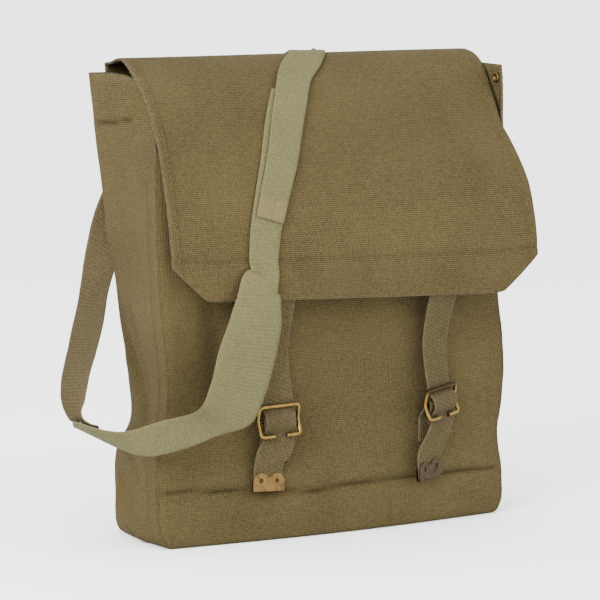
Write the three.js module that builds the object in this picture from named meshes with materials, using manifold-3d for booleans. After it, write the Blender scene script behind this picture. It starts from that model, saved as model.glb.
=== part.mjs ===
// A canvas military pack: an open box bag under a cover flap, closed by two
// buckled webbing straps, with one shoulder strap drawn round its left side.
// Millimetres, +Z up, the front faces -Y, and the origin is the middle of the base.

import * as THREE from 'three';
import { mergeVertices } from 'three/addons/utils/BufferGeometryUtils.js';
import Module from 'manifold-3d';

const wasm = await Module();
wasm.setup();

// Sizes of the bag
const bagWidth = 330;
const bagDepth = 100;
const bagHeight = 366;      // back panel and side weather flaps
const frontHeight = 302;    // top edge of the front panel, under the cover flap
const canvasWall = 2;
const cornerRadius = 7;     // the sewn upright edges

// Sizes of the cover flap
const flapCut = 29;         // each bottom corner is cut off by this much both ways
const flapLength = 292;     // from its seam on the back to its front edge
const flapThickness = 2;
const hemHeight = 33;       // the closing straps are sewn in above the front edge by this much

// Sizes of the webbing
const webbing = 1.6;        // thickness
const closingWidth = 26;
const strapWidth = 31;
const padWidth = 56;
const lapWidth = 24;        // the upper strap's end, narrower than the strap under it
const pinchWidth = 26;      // the strap is drawn in to this where its wide part begins
const chapeWidth = 26;
const chapeLength = 34;     // below the buckle's middle bar

// Sizes of the brass
const wireRadius = 1.6;
const buckleWidth = 37;
const buckleHeight = 27;
const buckleBend = 4.8;     // the top bar and the prongs stand this far in front of the middle bar
const prongGap = 10;
const buckleCorner = 2.2;   // size of the bend at each corner
const notchHeight = 1.4;    // half the straight part of a side bar, where it steps back to the middle bar
const notchDepth = 0.5;
const tipPlate = 0.7;
const tipWidth = 28;
const tipHeight = 14.2;
const tipHole = 4;          // diameter
const tipHoleSpacing = 14.3;
const tipHoleDown = 6;      // below the top of its lobes
const tipMerge = 0.05;      // the fold's plate is this far into the two others
const eyeletFlange = 8;     // diameter
const eyeletHole = 4;       // diameter
const eyeletRim = 0.5;      // wall of its barrel
const eyeletLip = 0.7;      // thickness of a flange
const eyeletFromTop = 11;
const eyeletFromFront = 4;

// Air between pieces that touch
const gap = 0.3;

// The bag's corners at each height, shares of half the width, half the depth and the height.
// The last four columns say how far each side swells out, as shares of the depth.
const bagSections = [
  { up: 0.000, flx: -0.965, fly: -1.18, frx: 0.955, fry: -1.07, brx: 0.970, bry: 0.88, blx: -0.920, bly: 0.76,
    front: 0.09, right: 0.02, back: 0.01, left: 0.03 },
  { up: 0.033, flx: -1.010, fly: -1.14, frx: 0.985, fry: -1.07, brx: 0.985, bry: 0.92, blx: -0.930, bly: 0.84,
    front: 0.10, right: 0.03, back: 0.02, left: 0.01 },
  { up: 0.096, flx: -1.020, fly: -1.10, frx: 0.990, fry: -1.05, brx: 0.980, bry: 0.92, blx: -0.935, bly: 0.82,
    front: 0.10, right: 0.03, back: 0.03, left: 0.02 },
  { up: 0.186, flx: -1.000, fly: -1.03, frx: 0.968, fry: -1.01, brx: 0.960, bry: 0.90, blx: -0.940, bly: 0.72,
    front: 0.07, right: 0.00, back: 0.04, left: 0.02 },
  { up: 0.254, flx: -0.955, fly: -1.00, frx: 0.992, fry: -1.00, brx: 0.950, bry: 0.88, blx: -0.868, bly: 0.66,
    front: 0.05, right: -0.02, back: 0.04, left: 0.02 },
  { up: 0.366, flx: -0.945, fly: -1.00, frx: 1.012, fry: -1.00, brx: 0.950, bry: 0.88, blx: -0.868, bly: 0.78,
    front: 0.05, right: -0.03, back: 0.04, left: 0.02 },
  { up: 0.530, flx: -0.980, fly: -1.00, frx: 0.976, fry: -1.00, brx: 0.970, bry: 0.92, blx: -0.910, bly: 0.90,
    front: 0.04, right: -0.02, back: 0.03, left: 0.00 },
  { up: 0.820, flx: -1.000, fly: -1.00, frx: 0.992, fry: -1.00, brx: 0.990, bry: 1.00, blx: -0.985, bly: 1.02,
    front: 0.00, right: 0.00, back: 0.01, left: -0.02 },
  { up: 1.000, flx: -1.000, fly: -1.00, frx: 1.000, fry: -1.00, brx: 1.000, bry: 1.02, blx: -1.018, bly: 1.12,
    front: 0.00, right: 0.00, back: 0.00, left: 0.00 },
];

// The sides in order round the bag, seen from above against the clock
const bagSides = [
  { name: 'front', from: 'fl', to: 'fr', columns: 16 },
  { name: 'right', from: 'fr', to: 'br', columns: 6 },
  { name: 'back', from: 'br', to: 'bl', columns: 8 },
  { name: 'left', from: 'bl', to: 'fl', columns: 10 },
];
const cornerColumns = 2;
const bagRows = [0, 0.02, 0.045, 0.075, 0.1, 0.125, 0.16, 0.2, 0.245, 0.3, 0.36, 0.42, 0.49, 0.57, 0.65, 0.73, 0.815];
const rimRows = 4;          // rows from the last of those to the top edge

// The top edge of the two sides: its height as a share of the bag's, and how far
// the cloth there is rolled in under the cover flap, as a share of the depth.
const rimShapes = {
  left: [
    { along: 0.00, up: 1.000, roll: 0.00 },
    { along: 0.48, up: 1.000, roll: 0.01 },
    { along: 0.64, up: 0.990, roll: 0.05 },
    { along: 0.82, up: 0.952, roll: 0.12 },
    { along: 0.94, up: 0.905, roll: 0.07 },
    { along: 1.00, up: 0.860, roll: 0.02 },
  ],
  right: [
    { along: 0.00, up: 1.009, roll: 0.00 },
    { along: 0.30, up: 1.012, roll: 0.00 },
    { along: 0.60, up: 1.016, roll: 0.00 },
    { along: 1.00, up: 1.000, roll: 0.00 },
  ],
};

// Folds and dents: each runs along a side between two points, shares of that side's
// width and of the bag's height, with a reach and a depth that are shares of the bag's depth.
// A negative depth is a valley.
const folds = [
  { side: 'front', a: 0.00, aUp: 0.122, b: 0.42, bUp: 0.094, reach: 0.045, depth: -0.035 },
  { side: 'front', a: 0.42, aUp: 0.094, b: 0.78, bUp: 0.106, reach: 0.045, depth: -0.035 },
  { side: 'front', a: 0.78, aUp: 0.106, b: 1.00, bUp: 0.100, reach: 0.045, depth: -0.030 },
  { side: 'front', a: 0.13, aUp: 0.500, b: 0.12, bUp: 0.200, reach: 0.130, depth: -0.045 },
  { side: 'front', a: 0.97, aUp: 0.190, b: 0.90, bUp: 0.170, reach: 0.060, depth: -0.025 },
  { side: 'left', a: 0.05, aUp: 0.440, b: 0.30, bUp: 0.350, reach: 0.090, depth: -0.060 },
  { side: 'left', a: 0.30, aUp: 0.350, b: 0.62, bUp: 0.220, reach: 0.090, depth: -0.060 },
  { side: 'left', a: 0.25, aUp: 0.125, b: 0.15, bUp: 0.075, reach: 0.060, depth: 0.045 },
  { side: 'left', a: 0.15, aUp: 0.075, b: 0.60, bUp: 0.020, reach: 0.060, depth: 0.045 },
  { side: 'left', a: 0.10, aUp: 0.920, b: 0.85, bUp: 0.915, reach: 0.035, depth: -0.020 },
  { side: 'right', a: 0.40, aUp: 0.550, b: 0.55, bUp: 0.200, reach: 0.120, depth: -0.050 },
];

// The cover flap's two side edges: along is a share of its length, the others are
// shares of half the bag's width, half its depth and its height.
// The first two rows follow the back panel, where the flap is sewn on.
const flapSections = [
  { along: 0.00, leftOut: -0.900, leftDeep: 1.14, leftUp: 0.943, rightOut: 0.950, rightDeep: 1.08, rightUp: 0.943 },
  { along: 0.07, leftOut: -0.905, leftDeep: 1.16, leftUp: 1.011, rightOut: 0.950, rightDeep: 1.08, rightUp: 1.012 },
  { along: 0.12, leftOut: -0.920, leftDeep: 0.88, leftUp: 1.020, rightOut: 0.955, rightDeep: 0.92, rightUp: 1.027 },
  { along: 0.18, leftOut: -0.955, leftDeep: 0.48, leftUp: 1.029, rightOut: 0.955, rightDeep: 0.54, rightUp: 1.036 },
  { along: 0.26, leftOut: -0.985, leftDeep: 0.10, leftUp: 1.028, rightOut: 0.972, rightDeep: 0.02, rightUp: 1.038 },
  { along: 0.35, leftOut: -1.000, leftDeep: -0.32, leftUp: 0.997, rightOut: 0.978, rightDeep: -0.36, rightUp: 1.011 },
  { along: 0.45, leftOut: -1.000, leftDeep: -0.72, leftUp: 0.940, rightOut: 0.965, rightDeep: -0.76, rightUp: 0.940 },
  { along: 0.53, leftOut: -1.000, leftDeep: -0.94, leftUp: 0.888, rightOut: 0.955, rightDeep: -1.00, rightUp: 0.887 },
  { along: 0.61, leftOut: -1.000, leftDeep: -1.12, leftUp: 0.835, rightOut: 0.988, rightDeep: -1.21, rightUp: 0.833 },
  { along: 0.73, leftOut: -0.982, leftDeep: -1.22, leftUp: 0.743, rightOut: 1.036, rightDeep: -1.46, rightUp: 0.743 },
  { along: 0.89, leftOut: -0.958, leftDeep: -1.27, leftUp: 0.607, rightOut: 1.048, rightDeep: -1.64, rightUp: 0.600 },
  { along: 1.00, leftOut: -0.952, leftDeep: -1.27, leftUp: 0.524, rightOut: 1.042, rightDeep: -1.56, rightUp: 0.508 },
];
const flapColumns = 20;
const flapRows = 20;
const seamRows = 2;         // of those, the rows on the back panel
const flapSwell = 0.03;     // how far its middle stands out, a share of the bag's depth
const seamOverlap = 0.07;   // the part of the flap's length that lies on the back panel

// The closing straps and their buckles, shares of half the bag's width and of its height,
// with each strap's slack as a share of the bag's depth.
const closings = [
  { name: 'left', seam: -0.380, middle: -0.397, buckle: -0.380, below: -0.425, tip: -0.441, buckleUp: 0.260, tipUp: 0.129,
    roll: 3, turn: -7, tipRoll: -3, tipTurn: 0, lift: 0.025, slack: 0.010, chapeShift: 0 },
  { name: 'right', seam: 0.524, middle: 0.517, buckle: 0.545, below: 0.522, tip: 0.475, buckleUp: 0.271, tipUp: 0.124,
    roll: 8, turn: 12, tipRoll: 8, tipTurn: 16, lift: 0.045, slack: 0.025, chapeShift: -0.045 },
];

// The chape's front layer below the middle bar: it falls back so that the strap passes between
// it and the prongs. Down is a share of the buckle's height, out is in front of the bar.
const chapeFront = [
  { down: 0.02, out: 2.9 },
  { down: 0.12, out: 2.4 },
  { down: 0.22, out: 1.4 },
  { down: 0.31, out: 0.2 },
  { down: 0.40, out: -0.8 },
  { down: 0.60, out: -1.2 },
];

// The shoulder strap on the flap: across and along are shares of the flap's width and length
const lapStart = 0.415;     // share of the flap's length where the lap joint begins
const lapEnd = 0.79;        // and where it ends
const lapLayers = 2.3;      // the upper strap lies this many thicknesses high there
const strapOnFlap = [
  { along: 0.00, across: 0.625 },
  { along: 0.07, across: 0.600 },
  { along: 0.12, across: 0.575 },
  { along: 0.18, across: 0.550 },
  { along: 0.22, across: 0.531 },
  { along: 0.30, across: 0.495 },
  { along: 0.366, across: 0.450 },
  { along: 0.415, across: 0.419 },
  { along: 0.475, across: 0.388 },
  { along: 0.602, across: 0.331 },
  { along: 0.741, across: 0.275 },
  { along: 0.854, across: 0.244 },
  { along: 0.940, across: 0.236 },
];
const strapOnBack = { out: 0.30, up: 0.800 };   // lower end of the upper strap, sewn on the back

// The sage strap below the flap: its middle line in shares of half the bag's width, half its
// depth and its height, how wide it is between the narrow strap (0) and the pad (1), and
// the direction from its outer to its inner edge as two angles in degrees.
const padRoute = [
  { out: -0.521, deep: -1.51, up: 0.557, wide: 0.10, turn: 0, tilt: 4 },
  { out: -0.543, deep: -1.56, up: 0.528, wide: 0.38, turn: 0, tilt: -3 },
  { out: -0.562, deep: -1.58, up: 0.475, wide: 0.75, turn: 3, tilt: -7 },
  { out: -0.612, deep: -1.60, up: 0.413, wide: 1.00, turn: 6, tilt: -9 },
  { out: -0.654, deep: -1.62, up: 0.352, wide: 1.00, turn: 9, tilt: -13 },
  { out: -0.713, deep: -1.66, up: 0.298, wide: 0.95, turn: 10, tilt: -19 },
  { out: -0.752, deep: -1.68, up: 0.284, wide: 0.80, turn: 9, tilt: -23 },
  { out: -0.818, deep: -1.72, up: 0.279, wide: 0.30, turn: 10, tilt: -30 },
  { out: -0.885, deep: -1.74, up: 0.273, wide: 0.05, turn: 14, tilt: -38 },
  { out: -0.958, deep: -1.72, up: 0.264, wide: 0.00, turn: 20, tilt: -50 },
  { out: -1.036, deep: -1.64, up: 0.255, wide: 0.00, turn: 28, tilt: -57 },
  { out: -1.115, deep: -1.46, up: 0.243, wide: 0.00, turn: 38, tilt: -56 },
  { out: -1.162, deep: -1.15, up: 0.235, wide: 0.00, turn: 46, tilt: -43 },
  { out: -1.220, deep: -1.00, up: 0.242, wide: 0.00, turn: 53, tilt: -32 },
  { out: -1.272, deep: -0.85, up: 0.253, wide: 0.00, turn: 63, tilt: -22 },
  { out: -1.309, deep: -0.74, up: 0.261, wide: 0.00, turn: 63, tilt: -19 },
  { out: -1.345, deep: -0.63, up: 0.269, wide: 0.00, turn: 62, tilt: -17 },
  { out: -1.375, deep: -0.54, up: 0.275, wide: 0.00, turn: 60, tilt: -15 },
];

// The olive strap from its lap on the sage strap up to the back panel
const rearRoute = [
  { out: -1.2715, deep: -0.814, up: 0.2593, turn: 57, tilt: -24 },
  { out: -1.2935, deep: -0.750, up: 0.2641, turn: 56, tilt: -22 },
  { out: -1.3105, deep: -0.690, up: 0.2710, turn: 57, tilt: -18 },
  { out: -1.3260, deep: -0.630, up: 0.2790, turn: 64, tilt: -12 },
  { out: -1.3380, deep: -0.590, up: 0.2870, turn: 76, tilt: -5 },
  { out: -1.3420, deep: -0.530, up: 0.2990, turn: 88, tilt: -2 },
  { out: -1.3320, deep: -0.400, up: 0.3250, turn: 93, tilt: 0 },
  { out: -1.2910, deep: -0.170, up: 0.3590, turn: 95, tilt: -1 },
  { out: -1.1470, deep: 0.410, up: 0.4320, turn: 101, tilt: -2 },
  { out: -1.000, deep: 1.04, up: 0.508, turn: 108, tilt: -8 },
  { out: -0.890, deep: 1.34, up: 0.612, turn: 124, tilt: 0 },
  { out: -0.800, deep: 1.44, up: 0.700, turn: 148, tilt: 14 },
  { out: -0.720, deep: 1.34, up: 0.775, turn: 168, tilt: 22 },
];
const rearOnBack = [
  { out: -0.652, up: 0.835, off: 0.05 },
  { out: -0.620, up: 0.865, off: 0.01 },
  { out: -0.585, up: 0.900, off: 0.00 },
];
const rearLean = 24;        // degrees the sewn end leans off upright

// Small helpers

function clamp(value, low, high) {
  return Math.min(Math.max(value, low), high);
}

function mix(a, b, share) {
  return a + (b - a) * share;
}

function smooth(value) {
  const t = clamp(value, 0, 1);
  return t * t * (3 - 2 * t);
}

function degrees(angle) {
  return THREE.MathUtils.degToRad(angle);
}

// A row of a table at any value of one column, on a smooth curve through the rows
function sample(table, column, at) {
  const last = table.length - 1;
  let i = 0;
  while (i < last - 1 && at > table[i + 1][column]) i += 1;
  const low = table[i];
  const high = table[i + 1];
  const span = high[column] - low[column];
  const t = clamp((at - low[column]) / span, 0, 1);
  const slope = (k, key) => {
    const before = table[Math.max(k - 1, 0)];
    const after = table[Math.min(k + 1, last)];
    return (after[key] - before[key]) / (after[column] - before[column]);
  };
  const row = {};
  for (const key of Object.keys(low)) {
    if (typeof low[key] !== 'number') continue;
    row[key] = low[key] * (1 + 2 * t) * (1 - t) ** 2
      + slope(i, key) * span * t * (1 - t) ** 2
      + high[key] * t * t * (3 - 2 * t)
      + slope(i + 1, key) * span * t * t * (t - 1);
  }
  return row;
}

// A point from shares of half the bag's width, half its depth and its height
function place(out, deep, up) {
  return new THREE.Vector3(out * bagWidth / 2, deep * bagDepth / 2, up * bagHeight);
}

// Closed meshes

// A mesh from points and triangles, turned right side out
function closedMesh(points, triangles) {
  let volume = 0;
  for (const [a, b, c] of triangles) {
    volume += points[a].dot(new THREE.Vector3().crossVectors(points[b], points[c]));
  }
  const faces = volume < 0 ? triangles.map(([a, b, c]) => [a, c, b]) : triangles;
  const geometry = new THREE.BufferGeometry();
  geometry.setAttribute('position', new THREE.Float32BufferAttribute(points.flatMap((p) => p.toArray()), 3));
  geometry.setIndex(faces.flat());
  return geometry;
}

// A sheet with a thickness: two grids of points of one size, one in front of the other
function sheet(front, back) {
  const rows = front.length;
  const columns = front[0].length;
  const points = [...front.flat(), ...back.flat()];
  const at = (layer, r, c) => layer * rows * columns + r * columns + c;
  const triangles = [];
  const quad = (a, b, c, d) => triangles.push([a, b, c], [a, c, d]);
  for (let r = 0; r < rows - 1; r += 1) {
    for (let c = 0; c < columns - 1; c += 1) {
      quad(at(0, r, c), at(0, r, c + 1), at(0, r + 1, c + 1), at(0, r + 1, c));
      quad(at(1, r, c), at(1, r + 1, c), at(1, r + 1, c + 1), at(1, r, c + 1));
    }
    quad(at(0, r, 0), at(0, r + 1, 0), at(1, r + 1, 0), at(1, r, 0));
    quad(at(1, r, columns - 1), at(1, r + 1, columns - 1), at(0, r + 1, columns - 1), at(0, r, columns - 1));
  }
  for (let c = 0; c < columns - 1; c += 1) {
    quad(at(0, 0, c), at(1, 0, c), at(1, 0, c + 1), at(0, 0, c + 1));
    quad(at(0, rows - 1, c), at(0, rows - 1, c + 1), at(1, rows - 1, c + 1), at(1, rows - 1, c));
  }
  return closedMesh(points, triangles);
}

// A round wire along a line of points, with flat ends
function wire(points, radius, sides) {
  const rings = [];
  let normal = null;
  points.forEach((point, i) => {
    const before = points[Math.max(i - 1, 0)];
    const after = points[Math.min(i + 1, points.length - 1)];
    const tangent = after.clone().sub(before).normalize();
    if (!normal) normal = Math.abs(tangent.y) < 0.9 ? new THREE.Vector3(0, 1, 0) : new THREE.Vector3(1, 0, 0);
    normal = normal.clone().addScaledVector(tangent, -normal.dot(tangent)).normalize();
    const other = new THREE.Vector3().crossVectors(tangent, normal);
    const ring = [];
    for (let k = 0; k < sides; k += 1) {
      const angle = 2 * Math.PI * k / sides;
      ring.push(point.clone().addScaledVector(normal, radius * Math.cos(angle))
        .addScaledVector(other, radius * Math.sin(angle)));
    }
    rings.push(ring);
  });
  const all = rings.flat();
  const triangles = [];
  for (let i = 0; i < rings.length - 1; i += 1) {
    for (let k = 0; k < sides; k += 1) {
      const a = i * sides + k;
      const b = i * sides + (k + 1) % sides;
      triangles.push([a, b, b + sides], [a, b + sides, a + sides]);
    }
  }
  const start = all.push(points[0].clone()) - 1;
  const end = all.push(points[points.length - 1].clone()) - 1;
  const top = (rings.length - 1) * sides;
  for (let k = 0; k < sides; k += 1) {
    const next = (k + 1) % sides;
    triangles.push([start, next, k], [end, top + k, top + next]);
  }
  return closedMesh(all, triangles);
}

// Booleans

function toSolid(geometry) {
  const bare = geometry.clone();
  bare.deleteAttribute('normal');
  bare.deleteAttribute('uv');
  const merged = mergeVertices(bare, 1e-4);
  const triVerts = Uint32Array.from(merged.index.array);
  const vertProperties = Float32Array.from(merged.attributes.position.array);
  return new wasm.Manifold(new wasm.Mesh({ numProp: 3, vertProperties, triVerts }));
}

function fromSolid(solid) {
  const mesh = solid.getMesh();
  const geometry = new THREE.BufferGeometry();
  geometry.setAttribute('position', new THREE.Float32BufferAttribute(Array.from(mesh.vertProperties), 3));
  geometry.setIndex(Array.from(mesh.triVerts));
  return geometry;
}

// The bag

function foldDepth(side, along, up, width) {
  let depth = 0;
  for (const fold of folds) {
    if (fold.side !== side) continue;
    const start = new THREE.Vector2(fold.a * width, fold.aUp * bagHeight);
    const run = new THREE.Vector2(fold.b * width, fold.bUp * bagHeight).sub(start);
    const here = new THREE.Vector2(along * width, up * bagHeight).sub(start);
    const share = clamp(here.dot(run) / run.lengthSq(), 0, 1);
    const distance = here.addScaledVector(run, -share).length() / (fold.reach * bagDepth);
    depth += fold.depth * bagDepth * Math.exp(-distance * distance);
  }
  return depth;
}

function rimAt(side, along) {
  if (side === 'front') return { up: frontHeight / bagHeight, roll: 0 };
  if (side === 'back') return { up: 1, roll: 0 };
  return sample(rimShapes[side], 'along', along);
}

// A point on the outside of one side: along is the share of its width, z its height
function wallPoint(side, along, z) {
  const up = z / bagHeight;
  const row = sample(bagSections, 'up', up);
  const from = new THREE.Vector2(row[side.from + 'x'] * bagWidth / 2, row[side.from + 'y'] * bagDepth / 2);
  const to = new THREE.Vector2(row[side.to + 'x'] * bagWidth / 2, row[side.to + 'y'] * bagDepth / 2);
  const width = from.distanceTo(to);
  const direction = to.clone().sub(from).normalize();
  const outward = new THREE.Vector2(direction.y, -direction.x);
  const inset = cornerRadius / width;
  const fade = smooth(6 * along) * smooth(6 * (1 - along));
  const rim = rimAt(side.name, along);
  const roll = rim.roll * bagDepth * smooth((up - frontHeight / bagHeight + 0.04) / (rim.up - frontHeight / bagHeight + 0.04));
  const swell = row[side.name] * bagDepth * Math.sin(Math.PI * along);
  const spot = from.lerp(to, mix(inset, 1 - inset, along));
  spot.addScaledVector(outward, swell + fade * foldDepth(side.name, along, up, width) - roll);
  return new THREE.Vector3(spot.x, spot.y, z);
}

// A point on the rounded upright edge after one side
function edgePoint(index, turn, z) {
  const side = bagSides[index];
  const next = bagSides[(index + 1) % bagSides.length];
  const row = sample(bagSections, 'up', z / bagHeight);
  const corner = new THREE.Vector3(row[side.to + 'x'] * bagWidth / 2, row[side.to + 'y'] * bagDepth / 2, z);
  const start = wallPoint(side, 1, z);
  const end = wallPoint(next, 0, z);
  return start.multiplyScalar((1 - turn) ** 2)
    .addScaledVector(corner, 2 * turn * (1 - turn))
    .addScaledVector(end, turn ** 2);
}

// Every upright line of the bag's grid: its top edge and its point at a height
function bagLines() {
  const lines = [];
  bagSides.forEach((side, index) => {
    for (let c = 0; c <= side.columns; c += 1) {
      const along = c / side.columns;
      lines.push({ rim: rimAt(side.name, along).up * bagHeight, point: (z) => wallPoint(side, along, z) });
    }
    const next = bagSides[(index + 1) % bagSides.length];
    for (let c = 1; c <= cornerColumns; c += 1) {
      const turn = c / (cornerColumns + 1);
      const rim = mix(rimAt(side.name, 1).up, rimAt(next.name, 0).up, turn) * bagHeight;
      lines.push({ rim, point: (z) => edgePoint(index, turn, z) });
    }
  });
  return lines;
}

function bagGeometry() {
  const lines = bagLines();
  const count = lines.length;
  const rows = bagRows.length + rimRows;
  const heightAt = (line, r) => {
    if (r < bagRows.length) return bagRows[r] * bagHeight;
    return mix(bagRows[bagRows.length - 1] * bagHeight, line.rim, (r - bagRows.length + 1) / rimRows);
  };
  const outer = [];
  const inner = [];
  for (let r = 0; r < rows; r += 1) {
    const ring = lines.map((line) => line.point(heightAt(line, r)));
    const floor = lines.map((line) => line.point(Math.max(heightAt(line, r), canvasWall)));
    outer.push(ring);
    inner.push(floor.map((point, c) => {
      const before = floor[(c + count - 1) % count];
      const after = floor[(c + 1) % count];
      const outward = new THREE.Vector3(after.y - before.y, before.x - after.x, 0).normalize();
      return point.clone().addScaledVector(outward, -canvasWall);
    }));
  }
  const points = [...outer.flat(), ...inner.flat()];
  const at = (layer, r, c) => (layer * rows + r) * count + c % count;
  const triangles = [];
  const quad = (a, b, c, d) => triangles.push([a, b, c], [a, c, d]);
  for (let c = 0; c < count; c += 1) {
    for (let r = 0; r < rows - 1; r += 1) {
      quad(at(0, r, c), at(0, r, c + 1), at(0, r + 1, c + 1), at(0, r + 1, c));
      quad(at(1, r, c), at(1, r + 1, c), at(1, r + 1, c + 1), at(1, r, c + 1));
    }
    quad(at(0, rows - 1, c), at(0, rows - 1, c + 1), at(1, rows - 1, c + 1), at(1, rows - 1, c));
  }
  const middleOf = (ring) => {
    const sum = ring.reduce((total, point) => total.add(point), new THREE.Vector3());
    return points.push(sum.divideScalar(count)) - 1;
  };
  const under = middleOf(outer[0]);
  const floor = middleOf(inner[0]);
  for (let c = 0; c < count; c += 1) {
    triangles.push([under, at(0, 0, c + 1), at(0, 0, c)], [floor, at(1, 0, c), at(1, 0, c + 1)]);
  }
  return closedMesh(points, triangles);
}

// How far forward the front panel stands at a place
function frontFace(x, z) {
  const row = sample(bagSections, 'up', z / bagHeight);
  const left = row.flx * bagWidth / 2 + cornerRadius;
  const right = row.frx * bagWidth / 2 - cornerRadius;
  return wallPoint(bagSides[0], clamp((x - left) / (right - left), 0, 1), z).y;
}

function backFace(x, z) {
  const row = sample(bagSections, 'up', z / bagHeight);
  const left = row.blx * bagWidth / 2 + cornerRadius;
  const right = row.brx * bagWidth / 2 - cornerRadius;
  return wallPoint(bagSides[2], clamp((right - x) / (right - left), 0, 1), z).y;
}

// The outermost place of the front or the back panel under a piece of some width and height
const underPiece = [-0.5, -0.25, 0, 0.25, 0.5];

function frontMost(x, z, width, height = 0) {
  const reaches = underPiece.flatMap((i) => underPiece.map((k) => frontFace(x + i * width, z + k * height)));
  return Math.min(...reaches);
}

function backMost(x, z, width) {
  return Math.max(...underPiece.map((share) => backFace(x + share * width, z)));
}

// The cover flap

function flapMiddle(across, along) {
  const row = sample(flapSections, 'along', along);
  const left = place(row.leftOut, row.leftDeep, row.leftUp);
  const right = place(row.rightOut, row.rightDeep, row.rightUp);
  const point = left.lerp(right, across);
  const bend = mix(across, smooth(across), 0.5) - across;
  point.y += (row.rightDeep - row.leftDeep) * bend * bagDepth / 2;
  point.z += (row.rightUp - row.leftUp) * bend * bagHeight;
  point.y -= flapSwell * bagDepth * Math.sin(Math.PI * across) * smooth((along - seamOverlap) * 2);
  const sewn = backFace(point.x, point.z) + 2 * gap + flapThickness / 2;
  point.y = mix(sewn, point.y, smooth((along - seamOverlap) / seamOverlap));
  return point;
}

function flapNormal(across, along) {
  const step = 0.01;
  const a = flapMiddle(Math.min(across + step, 1), along);
  const b = flapMiddle(Math.max(across - step, 0), along);
  const c = flapMiddle(across, Math.min(along + step, 1));
  const d = flapMiddle(across, Math.max(along - step, 0));
  return new THREE.Vector3().crossVectors(c.sub(d), a.sub(b)).normalize();
}

// The cut corners shorten the flap near its sides
function flapReach(across) {
  const fromSide = Math.min(across, 1 - across) * bagWidth;
  return 1 - Math.max(0, flapCut - fromSide) / flapLength;
}

function flapGeometry() {
  const cut = flapCut / bagWidth;
  const front = [];
  const back = [];
  for (let r = 0; r <= flapRows; r += 1) {
    const frontRow = [];
    const backRow = [];
    for (let c = 0; c <= flapColumns; c += 1) {
      const inner = (c - 2) / (flapColumns - 4);
      let across = mix(cut, 1 - cut, inner);
      if (c < 2) across = cut * c / 2;
      if (c > flapColumns - 2) across = 1 - cut * (flapColumns - c) / 2;
      const along = r < seamRows ? seamOverlap * r / seamRows
        : mix(seamOverlap, flapReach(across), (r - seamRows) / (flapRows - seamRows));
      const normal = flapNormal(across, along).multiplyScalar(flapThickness / 2);
      frontRow.push(flapMiddle(across, along).add(normal));
      backRow.push(flapMiddle(across, along).sub(normal));
    }
    front.push(frontRow);
    back.push(backRow);
  }
  return sheet(front, back);
}

// Where the flap hangs over the front at a place: its depth there
function flapDepth(x, z) {
  let low = 0.5;
  let high = 1;
  let across = 0.5;
  for (let i = 0; i < 24; i += 1) {
    const along = (low + high) / 2;
    const left = flapMiddle(0, along);
    const right = flapMiddle(1, along);
    across = clamp((x - left.x) / (right.x - left.x), 0, 1);
    if (flapMiddle(across, along).z > z) low = along;
    else high = along;
  }
  return flapMiddle(across, (low + high) / 2).y;
}

// Webbing

// A band along stations that each hold a middle point, the direction across and a width
function band(stations, thickness, steps) {
  const front = [];
  const back = [];
  const curve = new THREE.CatmullRomCurve3(stations.map((s) => s.at), false, 'centripetal');
  const across = new THREE.CatmullRomCurve3(stations.map((s) => s.across), false, 'centripetal');
  const widths = stations.map((s, i) => ({ i, width: s.width }));
  const total = (stations.length - 1) * steps;
  for (let i = 0; i <= total; i += 1) {
    const t = i / total;
    const tangent = curve.getTangent(t);
    const side = across.getPoint(t);
    side.addScaledVector(tangent, -side.dot(tangent)).normalize();
    const normal = new THREE.Vector3().crossVectors(side, tangent).multiplyScalar(thickness / 2);
    const half = sample(widths, 'i', t * (stations.length - 1)).width / 2;
    const middle = curve.getPoint(t);
    const edges = [-half, -half / 3, half / 3, half].map((reach) => middle.clone().addScaledVector(side, reach));
    front.push(edges.map((p) => p.clone().add(normal)));
    back.push(edges.map((p) => p.clone().sub(normal)));
  }
  return sheet(front, back);
}

// A direction from a turn about Z and a tilt up, both in degrees
function pointing(turn, tilt) {
  const flat = Math.cos(degrees(tilt));
  return new THREE.Vector3(flat * Math.cos(degrees(turn)), flat * Math.sin(degrees(turn)), Math.sin(degrees(tilt)));
}

// A station of the shoulder strap that lies on the flap, so many layers of webbing above it
function onFlap(along, layers, width, shift) {
  const row = sample(strapOnFlap, 'along', along);
  const step = 0.01;
  const ahead = sample(strapOnFlap, 'along', along + step);
  const here = flapMiddle(row.across, along);
  const tangent = flapMiddle(ahead.across, along + step).sub(here).normalize();
  const normal = flapNormal(row.across, along);
  const across = new THREE.Vector3().crossVectors(normal, tangent).normalize();
  const lift = flapThickness / 2 + 1.5 * gap + (gap + webbing) * layers - webbing / 2;
  return { at: here.addScaledVector(normal, lift).addScaledVector(across, shift), across, width };
}

function upperStrap() {
  const seam = onFlap(0, 1, strapWidth, 0);
  const x = strapOnBack.out * bagWidth / 2;
  const z = strapOnBack.up * bagHeight;
  const stations = [];
  for (const { share, layers } of [{ share: 0, layers: 0 }, { share: 0.4, layers: 0 }, { share: 0.8, layers: 1 }]) {
    const at = new THREE.Vector3(mix(x, seam.at.x, share), 0, mix(z, seam.at.z, share));
    at.y = backMost(at.x, at.z, strapWidth) + 3 * gap + webbing / 2 + layers * (gap + flapThickness);
    stations.push({ at, across: seam.across.clone(), width: strapWidth });
  }
  for (const along of [0.02, 0.045, 0.062, 0.08, 0.1, 0.14, 0.19, 0.25, 0.31, 0.37]) {
    stations.push(onFlap(along, 1, strapWidth, 0));
  }
  const inset = (strapWidth - lapWidth) / 2;
  stations.push(onFlap(lapStart, lapLayers, strapWidth, 0));
  for (const along of [0.45, 0.53, 0.62, 0.71, lapEnd]) stations.push(onFlap(along, lapLayers, lapWidth, -inset));
  return band(stations, webbing, 2);
}

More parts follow.
